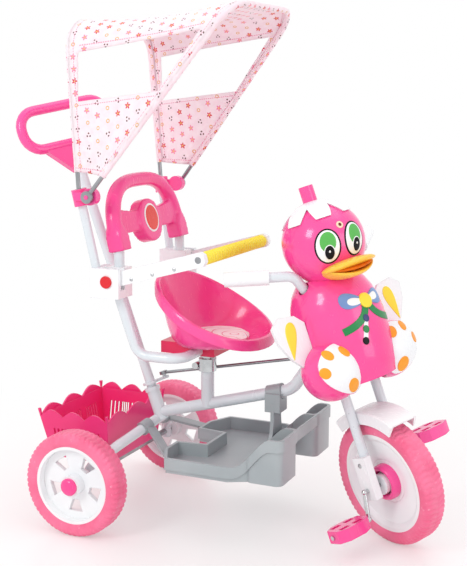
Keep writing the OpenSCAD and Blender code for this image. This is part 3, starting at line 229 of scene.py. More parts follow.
ribbon_blue = moulded("ribbon_blue", (120, 152, 205), (88, 122, 186), 0.3)
ribbon_green = moulded("ribbon_green", (28, 140, 74), (16, 118, 60), 0.3)
button_blue = moulded("button_blue", (58, 66, 120), (40, 48, 98), 0.25)
print("moulded finishes:", moulded_skin.users)

# %% [markdown]
# ## Painted tube
# The frame tubes wear a pale grey-blue gloss paint with a soft orange peel, rubbed dull in places and chipped
# in tiny specks down to the primer. Chips show only where the rubbing is strongest, as on a used frame.

# %% Group and finish: frame paint
paint_film, take, give = effect(
    "paint_film", [("Paint", COLOUR, WHITE), ("Primer", COLOUR, (0.3, 0.3, 0.3, 1))], SURFACE)
spot = own_place(paint_film)
peel = clouds(paint_film, spot, 260.0, 2.0)
rub = clouds(paint_film, spot, 22.0, 5.0)
speck = add(paint_film, "ShaderNodeTexVoronoi", {"Vector": spot, "Scale": 75.0}).outputs["Distance"]
chip = calc(paint_film, "MULTIPLY", ramp(paint_film, speck, 0.075, 0.05), ramp(paint_film, rub, 0.56, 0.66))
feed(paint_film, give, {"Colour": mixed(paint_film, chip, take["Paint"], take["Primer"]),
                        "Roughness": calc(paint_film, "MULTIPLY_ADD", rub, 0.22, 0.14),
                        "Height": calc(paint_film, "MULTIPLY_ADD", chip, -0.8, peel)})

frame_paint, tree, shader = new_finish("tube_paint")
film = use(tree, paint_film, {"Paint": srgb(220, 228, 233), "Primer": srgb(150, 156, 162)})
feed(tree, shader, {"Base Color": film["Colour"], "Roughness": film["Roughness"],
                    "Normal": relief(tree, film["Height"], 0.05, 0.0006),
                    "Coat Weight": 0.5, "Coat Roughness": 0.08})
print("group:", paint_film.name, "finish:", frame_paint.name)

# %% [markdown]
# ## Bright steel
# The wires, axle and crank are plated: a clear metal whose fine drawing lines run along the wire and whose
# shine is clouded by fingerprints. Both metals share one group and differ in colour, gloss and line length.

# %% Group and finishes: drawn metal
drawn_metal, take, give = effect(
    "drawn_metal", [("Colour", COLOUR, WHITE), ("Dark", COLOUR, WHITE), ("Roughness", NUMBER, 0.1),
                    ("Stretch", PLACE, (1, 1, 1))], SURFACE)
spot = own_place(drawn_metal)
lines = add(drawn_metal, "ShaderNodeMapping", {"Vector": spot, "Scale": take["Stretch"]}).outputs[0]
smear = clouds(drawn_metal, spot, 30.0, 4.0)
feed(drawn_metal, give, {
    "Colour": mixed(drawn_metal, ramp(drawn_metal, smear, 0.35, 0.7), take["Colour"], take["Dark"]),
    "Roughness": calc(drawn_metal, "MULTIPLY_ADD", smear, 0.2, take["Roughness"]),
    "Height": clouds(drawn_metal, lines, 1.0, 3.0)})


def plated(name, colour, roughness, stretch):
    material, tree, shader = new_finish(name)
    dark = tuple(c * 0.78 for c in colour[:3]) + (1.0,)
    metal = use(tree, drawn_metal, {"Colour": colour, "Dark": dark, "Roughness": roughness,
                                    "Stretch": stretch})
    feed(tree, shader, {"Metallic": 1.0, "Base Color": metal["Colour"], "Roughness": metal["Roughness"],
                        "Normal": relief(tree, metal["Height"], 0.08, 0.0003)})
    return material


rod_steel = plated("rod_steel", srgb(168, 170, 174), 0.2, (60.0, 900.0, 900.0))
chrome = plated("chrome_plate", srgb(206, 208, 210), 0.06, (300.0, 300.0, 300.0))
print("group:", drawn_metal.name, "finishes:", rod_steel.name, chrome.name)

# %% [markdown]
# ## Smooth solids
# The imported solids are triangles. A small geometry-node tool welds them, shades them smooth and keeps only
# the sharper edges as creases. It is a modifier, so the frame's own points stay as they are.

# %% Modifier: soft_shading
crease_angle, weld_gap = math.radians(32), 0.00002
soft_shading = bpy.data.node_groups.new("soft_shading", "GeometryNodeTree")
soft_shading.interface.new_socket("Geometry", in_out="INPUT", socket_type="NodeSocketGeometry")
soft_shading.interface.new_socket("Geometry", in_out="OUTPUT", socket_type="NodeSocketGeometry")
came = soft_shading.nodes.new("NodeGroupInput").outputs[0]
goes = soft_shading.nodes.new("NodeGroupOutput").inputs[0]
bare = add(soft_shading, "GeometryNodeRemoveAttribute", {"Geometry": came, "Name": "custom_normal"})
weld = add(soft_shading, "GeometryNodeMergeByDistance", {"Geometry": bare.outputs[0], "Distance": weld_gap})
flow = add(soft_shading, "GeometryNodeSetShadeSmooth",
           {"Geometry": weld.outputs[0], "Shade Smooth": True}, domain="FACE")
turn = add(soft_shading, "GeometryNodeInputMeshEdgeAngle").outputs["Unsigned Angle"]
crease = calc(soft_shading, "GREATER_THAN", turn, crease_angle)
kept = add(soft_shading, "GeometryNodeSetShadeSmooth",
           {"Geometry": flow.outputs[0], "Selection": crease, "Shade Smooth": False}, domain="EDGE")
soft_shading.links.new(kept.outputs[0], goes)
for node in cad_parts.values():
    node.modifiers.new("soft_shading", "NODES").node_group = soft_shading
print("smooth shading on", len(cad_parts), "solids")

# %% [markdown]
# Every solid takes its finish by name. The cushion, the hood's cloth, the tyres, the bill and the backrest
# are only listed so that nothing is left bare: the cells below replace them.

# %% Finishes of the solids
finishes = {
    frame_paint: ["main_tube", "head_tube", "push_socket", "axle_arch", "seat_post", "seat_frame_right",
                  "seat_frame_left", "upright_right", "upright_left", "steering_column", "fork", "handlebar",
                  "push_tube"],
    rod_steel: ["rear_axle", "rear_hoop", "front_hoop", "guard_bar", "steering_rod"],
    chrome: ["seat_clamp", "pedal_crank"],
    pink_gloss: ["canopy_clamp_right", "canopy_clamp_left", "duck_body", "duck_head", "cap_knob",
                 "pedal_right", "pedal_left", "hub_cap_right", "hub_cap_left", "push_handle"],
    backrest_pink: ["backrest"],
    seat_pink: ["seat_shell", "seat_pad", "canopy_fabric", "front_tyre", "rear_tyre_right", "rear_tyre_left"],
    basket_pink: ["basket"],
    white_gloss: ["joint_block_right", "joint_block_left", "guard_arm_right", "guard_arm_left", "mudguard",
                  "fork_cover_right", "fork_cover_left", "grip_right", "grip_left", "duck_cap", "wing_right",
                  "wing_left"],
    rim_white: ["front_rim", "rear_rim_right", "rear_rim_left"],
    tray_grey: ["footrest", "footrest_clip"],
    bracket_red: ["seat_bracket"],
    button_red: ["button_right", "button_left"],
    bill_yellow: ["duck_bill"],
    sleeve_yellow: ["guard_sleeve"],
}
for material, names in finishes.items():
    for name in names:
        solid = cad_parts[name].data
        solid.materials.clear()
        solid.materials.append(material)
missing = set(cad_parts) - {n for names in finishes.values() for n in names}
print("finished solids:", sum(map(len, finishes.values())), "without a finish:", sorted(missing))

# %% [markdown]
# ## Where the front end stands
# The duck, fork and front wheel were drawn straight ahead about a leaning axis and then turned 31 degrees to
# the rider's right. The same turn, as one matrix, lets the pieces below be drawn straight ahead too. Places
# on the frame, such as the backrest's, are given from the rear axle, which lies at row_x in the shared frame.

# %% Steered frame
SIDES = ((-1, "right"), (1, "left"))
row_x, wheelbase, hub_up = -0.22683, 0.534, 0.11756
lean, rest_turn = math.radians(19.8), math.radians(31)
hub = Vector((wheelbase + row_x, 0.0, hub_up))
steered = Matrix.Translation(hub) @ Matrix.Rotation(-lean, 4, "Y") @ Matrix.Rotation(-rest_turn, 4, "Z")
head_low, head_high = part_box("duck_head")
face_r, face = 0.074, Vector((0.028, 0.0, 0.441))
print("head centre", [round(c, 3) for c in steered @ face], "solid's middle",
      [round(c, 3) for c in (head_low + head_high) / 2])

# %% [markdown]
# ## Making a mesh
# Every added piece is a list of points and faces. One helper turns them into an object with outward faces and
# smooth shading and lets it ride on a body; two more give the points of a circle and the faces of a grid.

# %% Mesh tools
def piece(name, points, faces, material, body, slot=None):
    """A mesh piece with outward faces and smooth shading, riding on a body."""
    mesh = bpy.data.meshes.new(name)
    mesh.from_pydata([tuple(p) for p in points], [], faces)
    form = bmesh.new()
    form.from_mesh(mesh)
    bmesh.ops.remove_doubles(form, verts=form.verts, dist=0.00001)
    bmesh.ops.recalc_face_normals(form, faces=form.faces)
    form.to_mesh(mesh)
    form.free()
    mesh.polygons.foreach_set("use_smooth", [True] * len(mesh.polygons))
    mesh.set_sharp_from_angle(angle=math.radians(40))
    mesh.materials.append(material)
    made = put(name, mesh)
    if body:
        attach(made, body)
    return made


def circle(steps):
    """Even steps round a circle, each as its cosine and sine."""
    return [(math.cos(2 * math.pi * k / steps), math.sin(2 * math.pi * k / steps)) for k in range(steps)]


def strip(rows, columns, closed=False, looped=False):
    """Quads over a grid stored row by row; closed joins the last column to the first, looped the last row."""
    return [(r * columns + c, r * columns + (c + 1) % columns, (r + 1) % rows * columns + (c + 1) % columns,
             (r + 1) % rows * columns + c)
            for r in range(rows if looped else rows - 1) for c in range(columns if closed else columns - 1)]


print("mesh tools ready")

# %% [markdown]
# ## Foam tyres
# The three tyres are solid foam. Foam scatters light in its open pores, so the finish is dull, a little paler
# where it has rubbed on the ground, and carries a fine pore bump.

# %% Finish: foam
foam, tree, shader = new_finish("foam_pink")
spot = own_place(tree)
pores = add(tree, "ShaderNodeTexVoronoi", {"Vector": spot, "Scale": 900.0}).outputs["Distance"]
cloud = clouds(tree, spot, 25.0, 4.0)
worn = clouds(tree, spot, 160.0, 3.0)
tint = mixed(tree, ramp(tree, cloud, 0.3, 0.75), srgb(248, 122, 160), srgb(238, 96, 138))
feed(tree, shader, {"Base Color": mixed(tree, ramp(tree, worn, 0.62, 0.8), tint, srgb(252, 160, 188)),
                    "Roughness": calc(tree, "MULTIPLY_ADD", worn, 0.25, 0.45),
                    "Normal": relief(tree, pores, 0.25, 0.0006), "Sheen Weight": 0.15})
print("finish:", foam.name)

# %% [markdown]
# The tread is small staggered blocks that roll over the shoulders. A bump map would leave the outline smooth,
# so the tread is real: the profile is turned in fine steps and each point is pressed in between the blocks.
# The solid's outside radius stays, because it is the ground.

# %% Tread tyres
def tyre(name, node, outer, inner, blocks, place, body):
    half, cut, bulge, deep = 0.0225, 0.009, 0.0002, 0.0017
    zigzag_wide, row_wide, steps = 0.012, 0.0135, blocks * 8
    side = [(inner, half - cut / 3), (inner + cut / 2, half), (inner + (outer - inner) * 0.45, half + bulge)]
    shoulder = [(outer - cut * a, half - cut * b) for a, b in
                ((1.0, 0.0), (0.62, 0.1), (1 / 3, 1 / 3), (0.1, 0.62), (0.0, 1.0))]
    crown = [(outer, (half - cut) * k / 4) for k in (3, 2, 1)]
    right = side + shoulder + crown
    line = [(r, -y) for r, y in right] + [(outer, 0.0)] + [(r, y) for r, y in reversed(right)]
    points = []
    for step in range(steps):
        angle = 2 * math.pi * step / steps
        for r, y in line:
            tread = max(0.0, min(1.0, (r - (outer - cut * 1.6)) / (cut * 1.1)))
            zigzag = abs(((y / zigzag_wide) % 2) - 1)
            groove = math.cos(blocks * angle + math.pi * zigzag) * 0.5 + 0.5
            row = math.cos(2 * math.pi * y / row_wide) * 0.5 + 0.5
            press = max(groove ** 3, 0.8 * row ** 6 if abs(y) < half - cut else 0.0)
            low = r - deep * tread * press
            y_in = y * (1 - 0.03 * tread * press)
            points.append(place @ Vector((low * math.cos(angle), y_in, low * math.sin(angle))))
    made = piece(name, points, strip(steps, len(line), closed=True, looped=True), foam, body, "foam_tyre")
    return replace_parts(made, node)


front_r, front_rim_r, front_blocks = 0.117, 0.092, 72
rear_r, rear_rim_r, rear_blocks, half_track = 0.0975, 0.073, 60, 0.196
rear_place = {s: Matrix.Translation((row_x, half_track * s, rear_r)) for s in (-1, 1)}
tyre("tread_front", "front_tyre", front_r, front_rim_r, front_blocks, steered, "front_wheel")
tyre("tread_right", "rear_tyre_right", rear_r, rear_rim_r, rear_blocks, rear_place[-1], "rear_wheel_r")
tyre("tread_left", "rear_tyre_left", rear_r, rear_rim_r, rear_blocks, rear_place[1], "rear_wheel_l")

# %% [markdown]
# ## Wheel trim
# The front hub shows a raised pink ring on each side, and the front wheel's white disc is dished: it steps up
# towards a rolled edge beside the tyre. Both are turned profiles, so one lathe function makes them.

# %% Lathe and wheel trim
def lathe(name, profile, place, material, body, steps=96, slot=None, closed=True):
    """Turns (radius, y) points round the y axis."""
    points = [place @ Vector((r * c, y, r * s)) for c, s in circle(steps) for r, y in profile]
    return piece(name, points, strip(steps, len(profile), closed, looped=True), material, body, slot)


def ring_profile(outer, inner, low, high, side):
    mid, half = (outer + inner) / 2, (outer - inner) / 2
    turns = [math.pi * k / 10 for k in range(11)]
    arc = [(mid + half * math.cos(t), low + (high - low) * (0.35 + 0.65 * math.sin(t))) for t in turns]
    return [(r, side * y) for r, y in [(outer, low)] + arc + [(inner, low)]]


ring_out, ring_in, ring_low, ring_high = 0.033, 0.021, 0.0042, 0.0215
dish = [(0.0862, 0.0185), (0.0862, 0.0196), (0.0835, 0.0186), (0.0775, 0.0118), (0.06, 0.0098),
        (0.045, 0.0064), (0.04, 0.0046), (0.04, 0.0044), (0.0855, 0.0044)]
for side, word in SIDES:
    lathe("hub_ring_" + word, ring_profile(ring_out, ring_in, ring_low, ring_high, side), steered, pink_gloss,
          "front_wheel", slot="pink_plastic")
    lathe("front_dish_" + word, [(r, side * y) for r, y in dish], steered, rim_white, "front_wheel",
          slot="white_plastic")
print("wheel trim: hub rings and front dishes")

# %% [markdown]
# ## Painted patches on the duck
# Eyes, chest bow, buttons and foot pads are thin raised stickers that follow a round surface. Each one is a
# flat outline laid on the surface by a small function, with a soft rolled edge that sinks into the skin, so
# no patch floats. The designs are plain ones: oval eyes, a ribbon, three buttons and round toe pads.

# %% Patch tools
def on_ball(centre, radius, azimuth, rise, roll=0.0):
    """Lays (across, up, height) on a ball, round a direction azimuth to the left and rise, in degrees."""
    a, e, w = math.radians(azimuth), math.radians(rise), math.radians(roll)
    out = Vector((math.cos(e) * math.cos(a), math.cos(e) * math.sin(a), math.sin(e)))
    left = Vector((-math.sin(a), math.cos(a), 0.0))
    up = out.cross(left)
    left, up = left * math.cos(w) + up * math.sin(w), up * math.cos(w) - left * math.sin(w)

    def lay(across, rise_by, height):
        reach = math.hypot(across, rise_by)
        way = (left * across + up * rise_by) / reach if reach > 1e-9 else left
        bend = reach / radius
        return steered @ (centre + (out * math.cos(bend) + way * math.sin(bend)) * (radius + height))
    return lay


body_low, body_tall, body_r = 0.190, 0.194, 0.084


def on_body(z, azimuth=0.0):
    """Lays on the duck's body, which is widest below its middle and ends in a narrower top."""
    def lay(across, rise_by, height):
        share = min(max((z + rise_by - body_low) / body_tall, 0.0), 1.0)
        r = body_r * math.sqrt(1 - (abs(share - 0.42) / 0.68) ** 3 if share < 1.0 else 0.38)
        a = math.radians(azimuth) + across / max(r, 0.03)
        return steered @ Vector(((r + height) * math.cos(a), (r + height) * math.sin(a), z + rise_by))
    return lay


def oval(width, tall, pinch=0.0):
    """An oval outline; pinch narrows its top (positive) or bottom (negative)."""
    return [(width / 2 * x * (1 - pinch * y), tall / 2 * y) for x, y in circle(40)]


def shifted(outline, x, y):
    return [(px + x, py + y) for px, py in outline]


def patch(name, outline, lay, material, thick=0.0008, middle=(0.0, 0.0), sink=0.0006, body="front_fork"):
    """A sticker: rings of its outline, drawn in towards its middle, raised and rolled over at the edge."""
    rings = [(1.0, -sink), (1.0, thick * 0.55), (0.985, thick * 0.9)]
    rings += [(share, thick) for share in (0.95, 0.75, 0.5, 0.25)]
    cx, cy = middle
    points = [lay(cx + (x - cx) * s, cy + (y - cy) * s, h) for s, h in rings for x, y in outline]
    points.append(lay(cx, cy, thick))
    n, last = len(outline), (len(rings) - 1) * len(outline)
    faces = strip(len(rings), n, closed=True)
    faces += [(last + k, last + (k + 1) % n, len(points) - 1) for k in range(n)]
    return piece(name, points, faces, material, body)


print("patch tools ready")

# %% [markdown]
# Each eye is a stack of ovals on the ball of the head: a black edge, a white, a green iris, a pale halo, a
# black pupil and a small white dot of painted highlight. Every layer stands a little higher than the last, so
# none fights for depth. A cream stud with a brown core sits on the brow.

# %% Eyes
# The last layer of each eye is a painted highlight: a small white dot standing in for a reflection of light.
iris_at, pupil_at, highlight_dot_at = (0.0004, 0.0075), (0.0026, -0.0105), (0.0026, -0.0085)
eye_layers = (("edge", (0.0470, 0.0620), (0.0, 0.0), ink_black, 0.0006),
              ("white", (0.0412, 0.0562), (0.0, 0.0), eye_white, 0.0011),
              ("iris", (0.0285, 0.0350), iris_at, eye_green, 0.0015),
              ("halo", (0.0195, 0.0270), pupil_at, eye_white, 0.0018),
              ("pupil", (0.0165, 0.0238), pupil_at, ink_black, 0.0022),
              ("painted_highlight", (0.0034, 0.0040), highlight_dot_at, eye_white, 0.0026))
eye_turns, eye_rise, eye_roll = ((-34, "right"), (9, "left")), -6, -14
for azimuth, word in eye_turns:
    lay = on_ball(face, face_r, azimuth, eye_rise, eye_roll)
    for layer, size, middle, material, thick in eye_layers:
        patch("eye_%s_%s" % (layer, word), shifted(oval(*size), *middle), lay, material, thick, middle)
stud_turn, stud_rise, stud_size, core_size = -8, 17, (0.0126, 0.0126), (0.0056, 0.0062)
stud = on_ball(face, face_r, stud_turn, stud_rise)
patch("brow_stud", oval(*stud_size), stud, stud_cream, 0.0012)
patch("brow_stud_core", oval(*core_size), stud, stud_brown, 0.0018)
print("eyes laid on the head in", len(eye_layers), "layers")

# %% [markdown]
# The ribbon is two rounded loops, two tails and a knot. Each loop carries a white teardrop of painted
# highlight. A teardrop outline makes the loops and the highlights; the tails are short curved bands. All
# follow the chest.

# %% Ribbon tools
def tilted(outline, degrees):
    c, s = math.cos(math.radians(degrees)), math.sin(math.radians(degrees))
    return [(x * c - y * s, x * s + y * c) for x, y in outline]


def teardrop(length, wide, degrees, steps=36):
    turns = [2 * math.pi * k / steps for k in range(steps)]
    return tilted([(length * (0.5 - 0.5 * math.cos(t)),
                    wide / 2 * math.sin(t) * (0.25 + 0.75 * math.sin(t / 2) ** 2)) for t in turns], degrees)


def heading(line, k):
    """The direction of a line of points at its k-th one."""
    return (line[min(k + 1, len(line) - 1)] - line[max(k - 1, 0)]).normalized()


def ribbon(name, points, wide, lay, material, thick=0.0009, sink=0.0005):
    """A flat band of that width along a few points."""
    spine, flat = [Vector(p).to_3d() for p in points], []
    for k, p in enumerate(spine):
        d = heading(spine, k)
        n = Vector((-d.y, d.x, 0)) * wide / 2
        corners = ((p + n, -sink), (p + n, thick), (p - n, thick), (p - n, -sink))
        flat += [lay(q.x, q.y, h) for q, h in corners]
    faces = strip(len(spine), 4, closed=True) + [(0, 1, 2, 3), tuple(len(flat) - 4 + k for k in range(4))]
    return piece(name, flat, faces, material, "front_fork")


def bent(a, b, c, steps=10):
    """Points along a soft bend from a to c, drawn towards b."""
    ways = [k / steps for k in range(steps + 1)]
    return [tuple(p * (1 - t) ** 2 + 2 * q * t * (1 - t) + r * t * t for p, q, r in zip(a, b, c))
            for t in ways]


print("ribbon tools ready")

# %% Bow and buttons
chest_up, chest_turn = 0.325, 4.6
loop_long, loop_wide, loop_highlight_long, loop_highlight_wide, tail_wide = 0.050, 0.040, 0.036, 0.019, 0.0130
loop_turn, loop_highlight_turn, loop_rise, loop_mid, loop_highlight_mid = -6, -2, 8, (0.030, 0.002), (0.022, 0.003)
tail_bend, knot_size = ((0.005, -0.008), (0.014, -0.036), (0.060, -0.041)), (0.0265, 0.0270)
chest = on_body(chest_up, chest_turn)
for side, word in reversed(SIDES):
    loop = teardrop(loop_long * side, loop_wide, loop_rise * side + loop_turn)
    loop_highlight = teardrop(loop_highlight_long * side, loop_highlight_wide, loop_rise * side + loop_highlight_turn)
    patch("bow_loop_" + word, loop, chest, ribbon_blue, 0.0016, (loop_mid[0] * side, loop_mid[1]))
    # The white teardrop on each blue loop is a painted highlight.
    patch("bow_loop_highlight_" + word, loop_highlight, chest, eye_white, 0.0023, (loop_highlight_mid[0] * side, loop_highlight_mid[1]))
    tail = bent(*((x * side, y) for x, y in tail_bend))
    ribbon("bow_tail_" + word, tail, tail_wide, chest, ribbon_green)
patch("bow_knot", oval(*knot_size), chest, leaf_yellow, 0.0036)
button_rows, button_size, strap_wide = ((0.296, -4), (0.278, -8.7), (0.259, -13.5)), (0.0112, 0.0134), 0.0085
strap_up = button_rows[1][0]
strap = [(math.radians(turn) * body_r, z - strap_up) for z, turn in button_rows]
ribbon("button_strap", strap, strap_wide, on_body(strap_up), eye_white)
for k, (material, (z, turn)) in enumerate(zip((button_blue, ribbon_green, ink_black), button_rows)):
    patch("chest_button_%d" % (k + 1), oval(*button_size), on_body(z, turn), material, 0.0022)
print("bow and", len(button_rows), "chest buttons")

# %% [markdown]
# Each foot ends in a flattened sole: a pink edge that runs back into the leg, a white face, three toe pads
# and a heel pad. The sole follows a larger ball than the leg, so it reads as a plate.

# %% Foot soles and toe pads
sole_r, leg_r, sole_turn, sole_roll, sole_clear = 0.062, 0.052, -2, -27, 0.001
leg_x, leg_y, leg_z, edge_deep = 0.020, 0.066, 0.224, 0.014
foot_size, sole_size, heel_pinch = (0.0900, 0.1110), (0.0860, 0.1070), -0.3
pads = ((-0.022, 0.024, 0.017, 0.024), (0.005, 0.043, 0.017, 0.024), (0.034, 0.025, 0.019, 0.022),
        (0.008, -0.031, 0.024, 0.029))
facing = Vector((math.cos(math.radians(sole_turn)), math.sin(math.radians(sole_turn)), 0.0))
for side, word in SIDES:
    leg = Vector((leg_x, leg_y * side, leg_z))
    sole = on_ball(leg - facing * (sole_r - leg_r - sole_clear), sole_r, sole_turn, 0, sole_roll * side)
    patch("foot_" + word, oval(*foot_size, heel_pinch), sole, pink_gloss, 0.0006, sink=edge_deep)
    patch("sole_" + word, oval(*sole_size, heel_pinch), sole, white_gloss, 0.0014)
    for k, (x, y, w, h) in enumerate(pads):
        at = (x * side, y)
        patch("toe_pad_%s_%d" % (word, k + 1), shifted(oval(w, h), *at), sole, pad_orange, 0.0022, at)
print("soles and", 2 * len(pads), "pads on the feet")

# %% [markdown]
# Each white wing carries one raised yellow leaf, narrow at its foot and leaning in towards the body. The
# wing's face is flat, so the leaf is laid on a plane.

# %% Wing leaves
wing_face, wing_out, wing_up = 0.0140, 0.120, 0.297
leaf_half, leaf_tall, leaf_tilt = 0.0165, 0.033, 12


def on_wing(side):
    def lay(across, up, height):
        return steered @ Vector((wing_face + height, side * (wing_out + across), wing_up + up))
    return lay


leaf = tilted([(leaf_half * c * (0.58 + 0.42 * s), leaf_tall * s) for c, s in circle(40)], leaf_tilt)
for side, word in SIDES:
    patch("wing_leaf_" + word, leaf, on_wing(side), leaf_yellow, 0.0009)
print("wing leaves of", len(leaf), "points")

# %% [markdown]
# ## Bill
# The bill is a soft moulding with an upper and a lower lip and an open smile between them. It is shaped from
# three flattened balls: a broad upper lip, a lower lip whose corners curl up into it, and a darker one that
# fills the mouth. Sculpting would do as well, but balls with a few numbers are easier to adjust.

# %% Bill
bill_turn = Matrix.Rotation(math.radians(-9), 3, "Z")


def lip(name, material, centre, size, up, curl, tilt=0.0):
    """A flattened ball, full above (up 1) or below (up -1); curl lifts its sides, tilt lowers its front."""
    points, rows, columns = [], 17, 48
    for i in range(rows):
        e = -math.pi / 2 + math.pi * i / (rows - 1)
        for c, s in circle(columns):
            x, y, z = math.cos(e) * c, math.cos(e) * s, math.sin(e)
            z = z * (1.0 if z * up > 0 else 0.45)
            wave = curl * (abs(y) ** 2.2) - tilt * max(x, 0) ** 2
            forward = Vector((centre[0] + size[0] * x, size[1] * y, centre[1] + size[2] * z + wave))
            points.append(steered @ (face + bill_turn @ forward))
    return piece(name, points, strip(rows, columns, closed=True), material, "front_fork", "orange_plastic")


upper = lip("bill_upper", bill_yellow, centre=(0.060, -0.0500), size=(0.044, 0.050, 0.0120), up=1, curl=0.001,
            tilt=-0.005)
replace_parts(upper, "duck_bill")
lip("bill_lower", bill_yellow, centre=(0.054, -0.0625), size=(0.043, 0.046, 0.0085), up=-1, curl=0.0135,
    tilt=0.002)
lip("bill_inside", bill_mouth, centre=(0.055, -0.0570), size=(0.042, 0.044, 0.0080), up=1, curl=0.007)
print("bill: two lips and the mouth between")

# %% [markdown]
# ## Screws
# Small bright screws hold the guard arms and the fork covers. One turned head with a round socket serves them
# all; its profile is given in shares of its radius.

# %% Screws
head_shares = ((0.0, 0.3), (0.2, 0.3), (0.22, 0.5), (0.55, 0.48), (0.9, 0.28), (1.0, 0.0), (1.0, -0.3))


def screw(name, place, out, radius, body):
    turn = Vector((0, 1, 0)).rotation_difference(Vector(out).normalized()).to_matrix().to_4x4()
    profile = [(radius * a, radius * b) for a, b in head_shares]
    return lathe(name, profile, Matrix.Translation(place) @ turn, chrome, body, steps=24, slot="chrome",
                 closed=False)


arm_screw_r, arm_screws_along, arm_screws_below = 0.0035, (0.046, 0.090, 0.135), 0.006
cover_screw_r, cover_face, cover_up = 0.0045, 0.054, 0.046
pivot_x, pivot_z, bar_x, bar_z, arm_face = 0.048, 0.467, 0.226, 0.516, 0.148
arm_dir = Vector((bar_x - pivot_x, 0.0, bar_z - pivot_z)).normalized()
arm_side = Vector((arm_dir.z, 0.0, -arm_dir.x))
for side, word in SIDES:
    pivot = Vector((pivot_x + row_x, arm_face * side, pivot_z))
    for k, reach in enumerate(arm_screws_along):
        at = pivot + arm_dir * reach + arm_side * arm_screws_below
        screw("arm_screw_%s_%d" % (word, k + 1), at, (0, side, 0), arm_screw_r, "guard")
    screw("cover_screw_" + word, steered @ Vector((0.0, cover_face * side, cover_up)),
          steered.to_3x3() @ Vector((0, side, 0)), cover_screw_r, "front_fork")
print("screws placed, head of", len(head_shares), "points")

# %% [markdown]
# ## Backrest
# The backrest is one rounded moulding: a thick bow on two feet, with a disc on a cross web between them. The
# plain forms are laid into each other, a voxel Remesh melts them into one skin, and a Smooth softens the
# inner corners as the fillets of a mould do. Joining them by hand would take far more faces and care.

# %% Backrest: plain forms
rest_x, rest_up, rest_lean = 0.054, 0.522, math.radians(13)
backrest_place = Matrix.Translation((rest_x + row_x, 0.0, rest_up)) @ Matrix.Rotation(-rest_lean, 4, "Y")
bow_wide, bow_tall, bow_square = 0.1208, 0.1205, 2.0 / 3.0
bow_thick, bow_deep, foot_low, foot_deep = 0.0135, 0.0150, -0.004, 0.0155
disc_r, disc_up, disc_back, disc_front = 0.0410, 0.0410, -0.0140, 0.0125
web_back, web_front = -0.0130, 0.0070


def bow_line(steps=60):
    """The middle line of the bow, from one foot over the top to the other."""
    line = [(bow_wide, foot_low)]
    for k in range(steps + 1):
        t = math.pi * k / steps
        line.append((math.copysign(abs(math.cos(t)) ** bow_square, math.cos(t)) * bow_wide,
                     math.sin(t) ** bow_square * bow_tall))
    return line + [(-bow_wide, foot_low)]


def bow_skin(sides=24):
    line, points = bow_line(), []
    for k, (across, up) in enumerate(line):
        (a0, u0), (a1, u1) = line[max(k - 1, 0)], line[min(k + 1, len(line) - 1)]
        along = math.hypot(a1 - a0, u1 - u0)
        out = ((u1 - u0) / along, -(a1 - a0) / along)
        points += [(bow_deep * s, across + out[0] * (bow_thick * c), up + out[1] * (bow_thick * c))
                   for c, s in circle(sides)]
    last = (len(line) - 1) * sides
    ends = [tuple(range(sides)), tuple(last + j for j in range(sides))]
    return points, strip(len(line), sides, closed=True) + ends


def slab(outline, back, front):
    """A flat outline given a thickness."""
    n = len(outline)
    points = [(depth, across, up) for depth in (back, front) for across, up in outline]
    return points, strip(2, n, closed=True) + [tuple(range(n)), tuple(range(n, 2 * n))]


foot = [(0.0990, foot_low), (0.1335, foot_low), (0.1335, 0.0240), (0.1280, 0.0400), (0.1080, 0.0400),
        (0.0990, 0.0240)]
web = [(-0.112, 0.0250), (0.112, 0.0250), (0.112, 0.0720), (0.056, 0.0640), (-0.056, 0.0640),
       (-0.112, 0.0720)]
disc = [(disc_r * c, disc_up + disc_r * s) for c, s in circle(64)]
other_foot = [(-across, up) for across, up in foot]
forms = [bow_skin(), slab(foot, -foot_deep, foot_deep), slab(other_foot, -foot_deep, foot_deep),
         slab(web, web_back, web_front), slab(disc, disc_back, disc_front)]
print("backrest:", len(forms), "plain forms")

# %% [markdown]
# The forms go into one mesh. The Remesh and the Smooth stay as modifiers, so the forms can still be changed.

# %% Backrest: one skin
skin_voxel, fillet_share, fillet_rounds = 0.0025, 0.5, 8
points, faces = [], []
for form_points, form_faces in forms:
    faces += [tuple(i + len(points) for i in corners) for corners in form_faces]
    points += [backrest_place @ Vector(p) for p in form_points]
backrest = piece("backrest_moulding", points, faces, backrest_pink, "frame", "pink_plastic")
melt = backrest.modifiers.new("one_skin", "REMESH")
melt.mode, melt.voxel_size, melt.use_smooth_shade = "VOXEL", skin_voxel, True
fillet = backrest.modifiers.new("fillets", "SMOOTH")
fillet.factor, fillet.iterations = fillet_share, fillet_rounds
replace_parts(backrest, "backrest")
print("backrest:", len(faces), "faces before the skin")

# %% [markdown]
# The disc carries an oval badge. It is kept plain: an orange-red oval with a pale rim.

# %% Badge
badge_up, badge_size, field_size = 0.0445, (0.052, 0.055), (0.045, 0.048)


def on_disc(across, up, height):
    return backrest_place @ Vector((disc_front + height, across, badge_up + up))


badge_red = moulded("badge_red", (236, 74, 60), (224, 52, 46), 0.2)
patch("badge_rim", oval(*badge_size), on_disc, eye_white, 0.0012, body="frame")
patch("badge_field", oval(*field_size), on_disc, badge_red, 0.0018, body="frame")
print("badge on the disc")

# %% [markdown]
# ## Cloth and thread
# The seat cushion and the hood are sewn from plain weave. The weave is a height that rises and falls with the
# threads, over and under. A row of stitches is a narrow line beside a seam, broken into dashes. Both are
# groups: the weave serves both cloths, each at its own pitch, and the stitches serve the hood's seams and
# hems.

